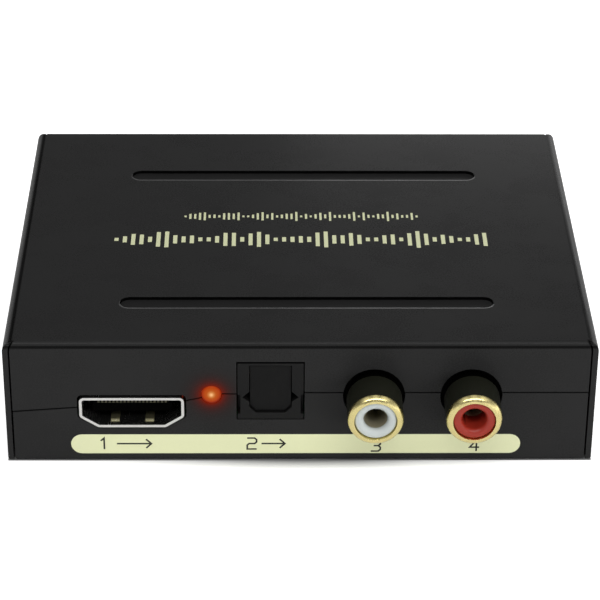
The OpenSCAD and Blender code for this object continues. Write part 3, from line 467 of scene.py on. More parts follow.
# The shutter's face has fine upright ribs, drawn here as a streaky grain
SHUTTER_BLACK = Finish(
    "ribbed_black_abs",
    "#0f0f0f",
    0.5,
    specular=0.16,
    grain=Grain.DRAWN_Z,
    grain_mm=0.3,
    depth_mm=0.012,
    colour_spread=0.4,
)
# Polyoxymethylene is milky and a little waxy, with hardly any texture
WHITE_FILLING = Finish("moulded_white_pom", "#c6cdcc", 0.38, grain_mm=0.3, depth_mm=0.002, colour_spread=0.03)
# The same plastic with a brick red pigment
RED_FILLING = Finish("moulded_red_pom", "#9c2c1d", 0.4, grain_mm=0.3, depth_mm=0.002, colour_spread=0.05)
# White ABS is warmer and more opaque
KNOB_WHITE = Finish("moulded_white_abs", "#d6d6d0", 0.4, grain_mm=0.3, depth_mm=0.002, colour_spread=0.03)
# Cast epoxy is smooth and glossy, so the lit core shows through it
LENS = LitLens("lit_epoxy_lens", "#1e0502", 0.3, specular=0.08, grain_mm=0.5, depth_mm=0.0005)
# The transmitter's clear resin looks like dark red glass
TRANSMITTER = Finish("clear_dark_red_epoxy", "#4a120e", 0.15, grain_mm=0.5, depth_mm=0.0005)
# Solder mask is a glossy green skin
BOARD = SolderMask("green_solder_mask", "#1c5a37", 0.32, grain_mm=0.4, depth_mm=0.002)
# The epoxy round a chip is matt charcoal with a fine grain
CHIP = Finish("moulded_black_epoxy", "#1b1c1e", 0.55, grain_mm=0.12, depth_mm=0.004)
# Pressed ferrite is a dull grainy grey
FERRITE = Finish("pressed_ferrite", "#3b3c3f", 0.6, grain_mm=0.2, depth_mm=0.006)
# Drawn aluminium is pale and shiny, with fine upright lines
ALUMINIUM = Finish("drawn_aluminium", "#c8cacd", 0.28, 1.0, grain=Grain.DRAWN_Z, grain_mm=0.15, depth_mm=0.001)
# Fired ceramic is a matt tan, like unglazed clay
CERAMIC = Finish("fired_ceramic", "#a07e55", 0.45, grain_mm=0.15, depth_mm=0.004)
# Screen ink lies a few hundredths of a millimetre proud, and is dull and slightly mottled
CREAM_INK = Finish("cream_screen_ink", "#e8ebbf", 0.5, specular=0.35, grain_mm=0.35, colour_spread=0.02)
# The black ink on top of it is as dull
BLACK_INK = Finish("black_screen_ink", "#20221c", 0.5, specular=0.35, grain_mm=0.2, colour_spread=0.1)


# Meshes


def new_piece(name: str, mesh: bpy.types.Mesh, finish: Finish, body: str) -> Piece:
    """Makes an object of a mesh, gives it its finish and lets it ride on a body.

    Args:
        name: The piece's name.
        mesh: Its mesh, already in place.
        finish: Its finish.
        body: The body that it moves with.

    Returns:
        The new piece.
    """
    piece = bpy.data.objects.new(name, mesh)
    bpy.context.scene.collection.objects.link(piece)
    if not mesh.materials:
        mesh.materials.append(finish.build())
    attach(piece, body)
    log.info("%s: %d faces on %s", name, len(mesh.polygons), body)
    return piece


def baked(piece: Piece) -> bpy.types.Mesh:
    """Gives a new plain mesh of a piece with its modifiers.

    Args:
        piece: The piece.

    Returns:
        The mesh.
    """
    bpy.context.view_layer.update()
    shaped = piece.evaluated_get(bpy.context.evaluated_depsgraph_get())
    return bpy.data.meshes.new_from_object(shaped)


@dataclass(frozen=True)
class EdgeRule:
    """How the edges of a copied solid are rounded.

    Args:
        width_mm: Width of the rounding.
        segments: Faces across the rounding.
        where: Says of an edge's middle, in millimetres, whether the rule holds there.
    """

    width_mm: float
    segments: int = 2
    where: Callable[[Vector], bool] = field(default=lambda middle: True)

    def apply(self, form: bmesh.types.BMesh) -> None:
        """Rounds the edges that the rule holds for.

        Args:
            form: The copied solid.
        """
        edges = [
            e
            for e in form.edges
            if e.is_manifold
            and e.calc_face_angle(0.0) > EDGE_ANGLE
            and self.where((e.verts[0].co + e.verts[1].co) / (2 * MM))
        ]
        if edges:
            bmesh.ops.bevel(
                form,
                geom=edges,
                offset=self.width_mm * MM,
                offset_type="OFFSET",
                segments=self.segments,
                profile=0.5,
                affect="EDGES",
                clamp_overlap=True,
            )


@dataclass(frozen=True)
class StandIn:
    """A copy of a solid, with rounded edges and smooth bends, that shows in its place.

    Args:
        node: The solid's node.
        name: The copy's name.
        finish: Its finish.
        slot: The record's material slot; not used.
        rules: How its edges are rounded; the first rule that holds for an edge counts.
        body: The body that it rides on.
        reshape: Gives a point's new place, in millimetres, once the edges are rounded.
        ring_y: Y in millimetres where the faces are parted, so that the finish can change there.
    """

    node: str
    name: str
    finish: Finish
    slot: str
    rules: tuple[EdgeRule, ...] = ()
    body: str = CASE
    reshape: Callable[[Vector], Vector] | None = None
    ring_y: float | None = None

    def build(self) -> Piece:
        """Copies the solid, softens the copy and lets it replace the solid.

        Returns:
            The copy.
        """
        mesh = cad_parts[self.node].data.copy()
        mesh.materials.clear()
        mesh.name = self.name
        form = bmesh.new()
        form.from_mesh(mesh)
        bmesh.ops.remove_doubles(form, verts=form.verts, dist=MERGE_M)
        bmesh.ops.dissolve_limit(form, angle_limit=FLAT_ANGLE, verts=form.verts, edges=form.edges)
        for rule in self.rules:
            rule.apply(form)
        if self.ring_y is not None:
            everything = [*form.verts, *form.edges, *form.faces]
            bmesh.ops.bisect_plane(form, geom=everything, plane_co=mm(0, self.ring_y, 0), plane_no=(0, 1, 0))
        if self.reshape:
            for vertex in form.verts:
                vertex.co = self.reshape(vertex.co / MM) * MM
        for face in form.faces:
            face.smooth = True
        form.to_mesh(mesh)
        form.free()
        mesh.set_sharp_from_angle(angle=SMOOTH_ANGLE)
        piece = new_piece(self.name, mesh, self.finish, self.body)
        piece.modifiers.new("normals", "WEIGHTED_NORMAL").keep_sharp = True
        mesh = baked(piece)
        piece.modifiers.clear()
        piece.data = mesh
        mesh.name = self.name
        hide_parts(self.node)
        return piece


def tint(piece: Piece, finish: Finish, where: Callable[[Vector], bool]) -> None:
    """Gives some of a piece's faces another finish.

    Args:
        piece: The piece.
        finish: The other finish.
        where: Says of a face's middle, in millimetres, whether it gets that finish.
    """
    piece.data.materials.append(finish.build())
    for face in piece.data.polygons:
        if where(face.center / MM):
            face.material_index = len(piece.data.materials) - 1


def dress(node: str, finish: Finish) -> None:
    """Gives a carried-over solid its finish.

    Args:
        node: The solid's node.
        finish: Its finish.
    """
    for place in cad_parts[node].material_slots:
        place.material = finish.build()
    log.info("%s: %s", node, finish.name)


def closed(form: bmesh.types.BMesh, name: str) -> bpy.types.Mesh:
    """Turns a form's faces outwards and keeps it as a mesh.

    Args:
        form: The form, which is freed.
        name: The mesh's name.

    Returns:
        The new mesh.
    """
    bmesh.ops.recalc_face_normals(form, faces=form.faces)
    mesh = bpy.data.meshes.new(name)
    form.to_mesh(mesh)
    form.free()
    return mesh


def add_prism(form: bmesh.types.BMesh, outline: Iterable[Point3], shift: Vector) -> None:
    """Adds a flat outline and its shifted copy, joined by side walls.

    Args:
        form: The form that gets them.
        outline: The outline's points in millimetres.
        shift: Way from the outline to its copy, in millimetres.
    """
    corners = [Vector(point) for point in outline]
    low = [form.verts.new(point * MM) for point in corners]
    high = [form.verts.new((point + shift) * MM) for point in corners]
    form.faces.new(low)
    form.faces.new(high)
    for i, start in enumerate(low):
        j = (i + 1) % len(low)
        form.faces.new((start, low[j], high[j], high[i]))


def stroke(path: Sequence[Point2], width: float) -> list[Point2]:
    """Gives a line of even width along a path, with mitred corners.

    Args:
        path: The path's points.
        width: The line's width.

    Returns:
        The line's closed outline.
    """
    ways = [(Vector(b) - Vector(a)).normalized() for a, b in zip(path, path[1:])]
    left, right = [], []
    for i, point in enumerate(path):
        before, after = ways[max(0, i - 1)], ways[min(i, len(ways) - 1)]
        mean = (before + after).normalized()
        side = Vector((-mean.y, mean.x)) * width / 2 / mean.dot(after)
        left.append(tuple(Vector(point) + side))
        right.append(tuple(Vector(point) - side))
    return left + right[::-1]


# Geometry node trees


@dataclass
class NodeRow:
    """A tree that repeats a shape along a line.

    Every tree has the inputs Count, Start, Pitch and Material.

    Args:
        name: The tree's name.
        inputs: Name and socket type of each further input.
    """

    name: str
    inputs: dict[str, str]

    def __post_init__(self) -> None:
        """Makes the tree and its sockets."""
        shared = {"Count": "Int", "Start": "Vector", "Pitch": "Float", "Material": "Material"}
        self.tree = bpy.data.node_groups.new(self.name, "GeometryNodeTree")
        face = self.tree.interface
        face.new_socket(name="Geometry", in_out="OUTPUT", socket_type="NodeSocketGeometry")
        self.sockets = {
            name: face.new_socket(name=name, in_out="INPUT", socket_type=f"NodeSocket{kind}").identifier
            for name, kind in {**shared, **self.inputs}.items()
        }
        self.given = put(self.tree, "NodeGroupInput").outputs

    def repeat(self, shape: Socket, scale: object) -> None:
        """Sets a shape on each point of the line, realizes it and gives it its material.

        Args:
            shape: The shape's geometry.
            scale: The shape's scale, as a value or a node.
        """
        tree, given = self.tree, self.given
        step = put(tree, "ShaderNodeCombineXYZ", {"X": given["Pitch"]})
        ends = {"Count": given["Count"], "Start Location": given["Start"], "Offset": step}
        line = put(tree, "GeometryNodeMeshLine", ends)
        copies = {"Points": line, "Instance": shape, "Scale": scale}
        placed = put(tree, "GeometryNodeInstanceOnPoints", copies)
        real = put(tree, "GeometryNodeRealizeInstances", [placed])
        done = put(tree, "GeometryNodeSetMaterial", {"Geometry": real, "Material": given["Material"]})
        put(tree, "NodeGroupOutput", [done])

    def grow(self, name: str, values: dict[str, object], finish: Finish, slot: str) -> Piece:
        """Runs the tree and keeps its result as a plain mesh.

        Args:
            name: The new piece's name.
            values: A value for each input but Material.
            finish: The piece's finish.
            slot: The record's material slot; not used.

        Returns:
            The new piece.
        """
        holder = bpy.data.objects.new(name, bpy.data.meshes.new(name))
        bpy.context.scene.collection.objects.link(holder)
        modifier = holder.modifiers.new("row", "NODES")
        modifier.node_group = self.tree
        for key, value in {**values, "Material": finish.build()}.items():
            modifier[self.sockets[key]] = value
        mesh = baked(holder)
        bpy.data.objects.remove(holder)
        return new_piece(name, mesh, finish, CASE)


def bar_row() -> NodeRow:
    """Makes the tree of a printed row of level bars, whose heights swell and fall.

    Returns:
        The tree.
    """
    sizes = ("Bar Width", "Least Height", "Swell Height", "Beat", "Thickness")
    row = NodeRow("level_bars", dict.fromkeys(sizes, "Float"))
    tree, given = row.tree, row.given
    size = put(tree, "ShaderNodeCombineXYZ", {"X": given["Bar Width"], "Y": 1.0, "Z": given["Thickness"]})
    bar = put(tree, "GeometryNodeMeshCube", {"Size": size})
    number = put(tree, "GeometryNodeInputIndex")
    turn = put(tree, MATH, [number, given["Beat"]], operation="MULTIPLY")
    swell = given["Swell Height"]
    # Two waves, of which the second is slower by this share
    for share in (1.0, 0.37):
        part = put(tree, MATH, [turn, share], operation="MULTIPLY")
        wave = put(tree, MATH, [part], operation="SINE")
        level = put(tree, MATH, [wave], operation="ABSOLUTE")
        swell = put(tree, MATH, [level, swell], operation="MULTIPLY")
    height = put(tree, MATH, [swell, given["Least Height"]], operation="ADD")
    row.repeat(bar.outputs["Mesh"], put(tree, "ShaderNodeCombineXYZ", {"X": 1.0, "Y": height, "Z": 1.0}))
    return row


def strip_row() -> NodeRow:
    """Makes the tree that repeats one contact strip across a socket.

    Returns:
        The tree.
    """
    row = NodeRow("contact_strips", {"Strip": "Object"})
    strip = put(row.tree, "GeometryNodeObjectInfo", {"Object": row.given["Strip"]})
    row.repeat(strip.outputs["Geometry"], (1.0, 1.0, 1.0))
    return row


# Sub-assemblies


@dataclass(frozen=True)
class Grooves:
    """The two grooves pressed into the cover's top, in millimetres.

    Args:
        middles_y: Y of their middle lines.
        middle_x: X of their middles.
        straight: Half the length of their straight part.
        radius: Half their width, and the radius of their round ends.
        rim: Width of the rim that the press rolls.
        reach: How far their edges lie from the top's middle along X, and from a middle line along Y.
        floor_z: Just under their floor.
        wall_z: Just over their floor, where the wall starts.
        rim_z: Just under the rim.
        rim_share: Width of the rim at the rear, as a share of its even width, and what the front adds to it.
        side: Least share of the way from a middle line that points to the rear or the front.
        slack: Allowance in a comparison.
    """

    middles_y: Point2 = (-21.85, 18.15)
    middle_x: float = 1.0
    straight: float = 25.8
    radius: float = 1.45
    rim: float = 0.3
    reach: Point2 = (30.0, 1.7)
    floor_z: float = 19.4
    wall_z: float = 19.52
    rim_z: float = 19.65
    rim_share: Point2 = (0.2, 2.6)
    side: float = 0.3
    slack: float = 0.01

    def hold(self, middle: Vector) -> bool:
        """Says whether an edge belongs to one of the grooves.

        Args:
            middle: The edge's middle.

        Returns:
            True if it does.
        """
        along, across = self.reach
        near = any(abs(middle.y - y) < across for y in self.middles_y)
        return middle.z > self.floor_z and near and abs(middle.x) < along

    def have_rim(self, middle: Vector) -> bool:
        """Says whether an edge is one that the press rolls, at the top of a groove's wall."""
        return self.hold(middle) and middle.z > TOP_Z - self.rim / 3

    def nearest(self, spot: Vector) -> tuple[Vector, Vector]:
        """Gives the nearest point of the nearer groove's middle line.

        Args:
            spot: The place to start from.

        Returns:
            That point, and the way from it to the place.
        """
        y = min(self.middles_y, key=lambda middle: abs(middle - spot.y))
        along = max(-self.straight, min(self.straight, spot.x - self.middle_x))
        point = Vector((self.middle_x + along, y, spot.z))
        return point, spot - point

    def roll(self, spot: Vector) -> Vector:
        """Makes the rim tight at the rear and wide at the front, as a press leaves it.

        Args:
            spot: A point's place.

        Returns:
            Its new place.
        """
        point, away = self.nearest(spot)
        rim = away.length - self.radius
        if spot.z < self.rim_z or not 0 < rim - self.slack / 100 < self.rim + self.slack:
            return spot
        towards = away.normalized()
        tight, wide = self.rim_share
        share = tight + wide * ((1 - towards.y) / 2) ** 2
        return point + towards * (self.radius + rim * share)

    def finish_at(self, middle: Vector) -> Finish:
        """Tells the finish: painted shade on wall and floor, a painted highlight on the rim's front side, or the
        coat.

        Args:
            middle: A face's middle.

        Returns:
            The face's finish.
        """
        away = self.nearest(middle)[1]
        off, z = away.length - self.radius, middle.z
        # The rim is tight at the rear, so the wall reaches almost to the top there
        wall_top = TOP_Z - (5 * self.slack if away.y > self.side * away.length else self.rim)
        # Painted shade on the groove's wall
        if self.wall_z < z < wall_top and off < self.rim:
            return WALL_SHADE_PAINT
        # Painted highlight on the wide front side of the rim
        rolled = TOP_Z - self.rim < z < TOP_Z - self.slack / 5
        if rolled and 0 < off < 3 * self.rim and away.y < -self.side * away.length:
            return RIM_HIGHLIGHT_PAINT
        # Painted shade on the groove's floor
        low = self.floor_z < z < TOP_Z - self.rim + self.slack
        return GROOVE_SHADE_PAINT if low and off < 2 * self.slack else COVER_PAINT


@dataclass
class SheetCase:
    """The painted case: a cover over a tray, its screws, and what is printed on it.

    Args:
        grooves: The grooves in the cover's top.
        cut_mm: Rounding of a cut edge of the sheet.
        corner_mm: Rounding of the lower corners of the cover's side walls.
        wall_mm: Thickness of these walls and a little more.
        screws: The countersunk side screws.
        ink_mm: Thickness of the ink.
        stripe: Left, right, lower and upper edge of the printed stripe.
        stripe_corner: Radius of its corners.
        corner_steps: Straight steps in a corner.
        line_mm: Width of a printed line.
        figure_h: Height of a printed number.
        figure_w: Half its width, as a share of its height.
        figure_cut: Size of its cut corners.
        arrow_head: Half the height of an arrow's head, as a share of a number's height.
        arrow_gap: How far its line ends before its tip.
        figures: Number, X and Z of each printed number.
        arrows: X of the tail, X of the tip, and Z of each printed arrow.
        rows: For each row of bars its name, how many there are, X and Y of the first, their distance, their width,
            their least height, the most that the swell adds, and the beat of the swell.
    """

    grooves: Grooves = Grooves()
    cut_mm: float = 0.06
    corner_mm: float = 0.45
    wall_mm: float = 0.9
    screws: StandIn = StandIn("side_screws", "countersunk_screws", SCREW_BLACK, "screw_black", (EdgeRule(0.05, 1),))
    ink_mm: float = 0.02
    stripe: tuple[float, float, float, float] = (-33.25, 32.05, 1.15, 4.43)
    stripe_corner: float = 1.62
    corner_steps: int = 6
    line_mm: float = 0.24
    figure_h: float = 1.9
    figure_w: float = 0.36
    figure_cut: float = 0.28
    arrow_head: float = 0.4
    arrow_gap: float = 0.2
    figures: tuple[Point3, ...] = ((1, -28.6, 2.83), (2, -7.0, 2.83), (3, 11.0, 2.45), (4, 25.4, 2.45))
    arrows: tuple[Point3, ...] = ((-26.6, -21.6, 2.83), (-5.6, -2.2, 2.83))
    rows: tuple[tuple, ...] = (
        ("large_level_bars", 45, -27.7, -3.06, 1.275, 0.62, 0.9, 4.3, 0.83),
        ("small_level_bars", 49, -17.4, 4.28, 0.745, 0.34, 0.5, 2.5, 1.31),
    )

    def build(self) -> None:
        """Makes the two sheets, the screws and the print."""
        self.sheets()
        self.screws.build()
        self.front_print()
        self.top_print()

    def at_low_corner(self, middle: Vector) -> bool:
        """Says whether an edge is a lower corner of the cover's side walls."""
        low = middle.z < self.cut_mm
        return low and abs(middle.x) > HALF_W - self.wall_mm and abs(middle.y) > HALF_D - self.cut_mm

    def sheets(self) -> None:
        """Softens the cover, with its grooves pressed rounder than its cut edges, and the tray."""
        grooves = self.grooves
        rules = (
            EdgeRule(grooves.rim, 5, grooves.have_rim),
            EdgeRule(self.corner_mm, 4, self.at_low_corner),
            EdgeRule(self.cut_mm, 2, lambda middle: not grooves.hold(middle)),
        )
        cover = StandIn("top_cover", "cover_sheet", COVER_PAINT, "case_paint", rules, reshape=grooves.roll).build()
        # Painted shade on the grooves' walls and floors, and a painted highlight on the front of their rims
        for finish in (GROOVE_SHADE_PAINT, RIM_HIGHLIGHT_PAINT, WALL_SHADE_PAINT):
            tint(cover, finish, lambda middle, finish=finish: grooves.finish_at(middle) is finish)
        StandIn("bottom_shell", "tray_sheet", COVER_PAINT, "case_paint", (EdgeRule(self.cut_mm),)).build()

    def stripe_outline(self) -> list[Point2]:
        """Gives the outline of the stripe, a rectangle with rounded corners.

        Returns:
            X and Z of its points.
        """
        left, right, low, high = self.stripe
        points: list[Point2] = []
        for x, z, quarter in ((left, low, 2), (right, low, 3), (right, high, 0), (left, high, 1)):
            inwards = Vector((1 if x == left else -1, 1 if z == low else -1)) * self.stripe_corner
            for k in range(self.corner_steps + 1):
                angle = (quarter + k / self.corner_steps) * math.pi / 2
                out = Vector((math.cos(angle), math.sin(angle))) * self.stripe_corner
                points.append(tuple(Vector((x, z)) + inwards + out))
        return points

    def print_on_front(self, name: str, outlines: Iterable[Iterable[Point2]], proud: float, finish: Finish) -> None:
        """Prints flat shapes of ink on the front.

        Args:
            name: The new piece's name.
            outlines: X and Z of the shapes' points.
            proud: How far proud of the front the ink starts.
            finish: The ink.
        """
        form = bmesh.new()
        for outline in outlines:
            add_prism(form, [(x, -HALF_D - proud, z) for x, z in outline], Vector((0, -self.ink_mm, 0)))
        new_piece(name, closed(form, name), finish, CASE)

    def front_print(self) -> None:
        """Prints the cream stripe, and a plain number or an arrow for each socket on it."""
        self.print_on_front("cream_stripe", [self.stripe_outline()], 0, CREAM_INK)
        paths = [path for place in self.figures for path in self.figure(*place)]
        paths += [path for place in self.arrows for path in self.arrow(*place)]
        lines = [stroke(path, self.line_mm) for path in paths]
        self.print_on_front("port_numbers", lines, self.ink_mm, BLACK_INK)

    def figure(self, number: int, x: float, z: float) -> list[list[Point2]]:
        """Gives the lines of a plain number from 1 to 4, in a square stencil style.

        Args:
            number: The number.
            x: Its middle.
            z: Its middle.

        Returns:
            The paths of its lines.
        """
        h, w, c = self.figure_h / 2, self.figure_h * self.figure_w, self.figure_cut
        shapes = {
            1: [[(-w * 0.5, h - 0.45), (0.15, h), (0.15, -h)]],
            2: [[(-w, h), (w - c, h), (w, h - c), (w, c), (w - c, 0), (c - w, 0), (-w, -c), (-w, -h), (w, -h)]],
            3: [
                [(-w, h), (w - c, h), (w, h - c), (w, c), (w - c, 0), (w, -c), (w, c - h), (w - c, -h), (-w, -h)],
                [(-w * 0.4, 0), (w - c, 0)],
            ],
            4: [[(w * 0.4, -h), (w * 0.4, h), (-w, -h * 0.3), (w, -h * 0.3)]],
        }
        return [[(x + px, z + pz) for px, pz in path] for path in shapes[number]]

    def arrow(self, start: float, end: float, z: float) -> list[list[Point2]]:
        """Gives the lines of an arrow that points to the right.

        Args:
            start: X of its tail.
            end: X of its tip.
            z: Its height.

        Returns:
            The paths of its lines.
        """
        head = self.figure_h * self.arrow_head
        line = [(start, z), (end - self.arrow_gap, z)]
        return [line, [(end - head, z + head), (end, z), (end - head, z - head)]]

    def top_print(self) -> None:
        """Prints two rows of level bars on the top, by geometry nodes."""
        row = bar_row()
        for name, count, x, y, pitch, width, least, swell, beat in self.rows:
            values = {
                "Count": count,
                "Start": mm(x, y, TOP_Z + self.ink_mm / 2),
                "Pitch": pitch * MM,
                "Bar Width": width * MM,
                "Least Height": least * MM,
                "Swell Height": swell * MM,
                "Beat": beat,
                "Thickness": self.ink_mm * MM,
            }
            row.grow(name, values, CREAM_INK, "case_paint")


@dataclass
class VideoSocket:
    """One video socket: a plated shell, an insulator with a tongue, and a row of contacts.

    Args:
        side: Name of the socket, as the nodes have it.
        x: Its middle.
        face_y: The case's face that it stands in.
        turn: 1 for the front face, -1 for the rear.
        board_top: Top of the circuit board.
        bent: Rounding of the shell's edges.
        moulded: Rounding of the insulator's.
        contact_count: Number of contacts.
        contact_pitch: Distance from one to the next.
        contact_w: Their width.
        contact_t: Their thickness.
        contact_slope: Length of the slope at their front ends.
        tongue_top: Height of the tongue's top over the board.
        tongue_y: Depth of the contacts' front ends behind the case's face.
        back: Depth at which they turn down to the board.
        foot_l: Length of their feet on the board.
        finger_x: Distance of the shell's inner springs from its middle, and half their width.
        finger_depth: Depths between which these springs lie.
        finger_level: Heights over the board between which they lie.
    """

    side: str
    x: float
    face_y: float
    turn: int
    board_top: float = 5.85
    bent: EdgeRule = EdgeRule(0.13, 3)
    moulded: EdgeRule = EdgeRule(0.08)
    contact_count: int = 19
    contact_pitch: float = 0.54
    contact_w: float = 0.28
    contact_t: float = 0.12
    contact_slope: float = 0.15
    tongue_top: float = 3.2
    tongue_y: float = 1.4
    back: float = 11.75
    foot_l: float = 1.1
    finger_x: Point2 = (2.5, 0.66)
    finger_depth: Point2 = (0.9, 3.2)
    finger_level: Point2 = (0.47, 4.55)

    def build(self, row: NodeRow) -> None:
        """Makes the socket.

        Args:
            row: The tree that repeats a contact.
        """
        side = self.side
        shell = StandIn(f"{side}_shell", f"{side}_plated_shell", NICKEL, "bright_plate", (self.bent,)).build()
        tint(shell, SPRING_PLATE, self.on_finger)
        # The tongue is painted almost pure black, for the shade deep in the socket
        StandIn(f"{side}_insulator", f"{side}_tongue", SHADE_BLACK, "socket_black", (self.moulded,)).build()
        self.contacts(row)

    def on_finger(self, middle: Vector) -> bool:
        """Says whether a face belongs to the shell's inner springs, whose plating is duller.

        Args:
            middle: The face's middle.

        Returns:
            True if it does.
        """
        depth = (middle.y - self.face_y) * self.turn
        level = middle.z - self.board_top
        off, half = self.finger_x
        inside = self.finger_depth[0] < depth < self.finger_depth[1]
        high = self.finger_level[0] < level < self.finger_level[1]
        return abs(abs(middle.x - self.x) - off) < half and inside and high

    def contacts(self, row: NodeRow) -> None:
        """Repeats one strip across the tongue, by geometry nodes.

        Args:
            row: The tree that repeats a contact.
        """
        top, t, back, slope = self.tongue_top, self.contact_t, self.back, self.contact_slope
        outline = [
            (self.tongue_y, top),
            (back, top),
            (back, 0),
            (back + self.foot_l, 0),
            (back + self.foot_l, t),
            (back + t, t),
            (back + t, top + t),
            (self.tongue_y + slope, top + t),
            (self.tongue_y, top + t / 2),
        ]
        form = bmesh.new()
        side = [(-self.contact_w / 2, y * self.turn, z) for y, z in outline]
        add_prism(form, side, Vector((self.contact_w, 0, 0)))
        strip = bpy.data.objects.new("strip", closed(form, "strip"))
        first = self.x - (self.contact_count - 1) / 2 * self.contact_pitch
        values = {
            "Count": self.contact_count,
            "Start": mm(first, self.face_y, self.board_top),
            "Pitch": self.contact_pitch * MM,
            "Strip": strip,
        }
        piece = row.grow(f"{self.side}_contact_strips", values, CONTACT_GOLD, "gold_plate")
        bpy.data.objects.remove(strip)
        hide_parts(f"{self.side}_contacts")


@dataclass
class OpticalSocket:
    """The optical socket: a moulded housing with a hinged shutter, and what is behind it.

    Args:
        moulded: The housing and the shutter.
        spring_foot: Place in metres under the housing's roof where the leaf spring is held; not used.
        spring_left: Share of the spring's height that is left when the shutter is open; not used.
    """

    moulded: tuple[StandIn, ...] = (
        StandIn("optical_housing", "optical_frame", OPTICAL_BLACK, "optical_black", (EdgeRule(0.1),)),
        StandIn("optical_shutter", "shutter_flap", SHUTTER_BLACK, "optical_black", (EdgeRule(0.12),), SHUTTER),
    )
    spring_foot: Point3 = (-0.0043, -0.0315, 0.01605)
    spring_left: float = 0.12

    def build(self) -> None:
        """Softens the housing and the shutter, and dresses the rest."""
        for piece in self.moulded:
            piece.build()
        leaf = StandIn("shutter_spring", "shutter_leaf_spring", ZINC, "plain_steel").build()
        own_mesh(leaf)
        dress("optical_transmitter", TRANSMITTER)
        dress("optical_leads", TIN)


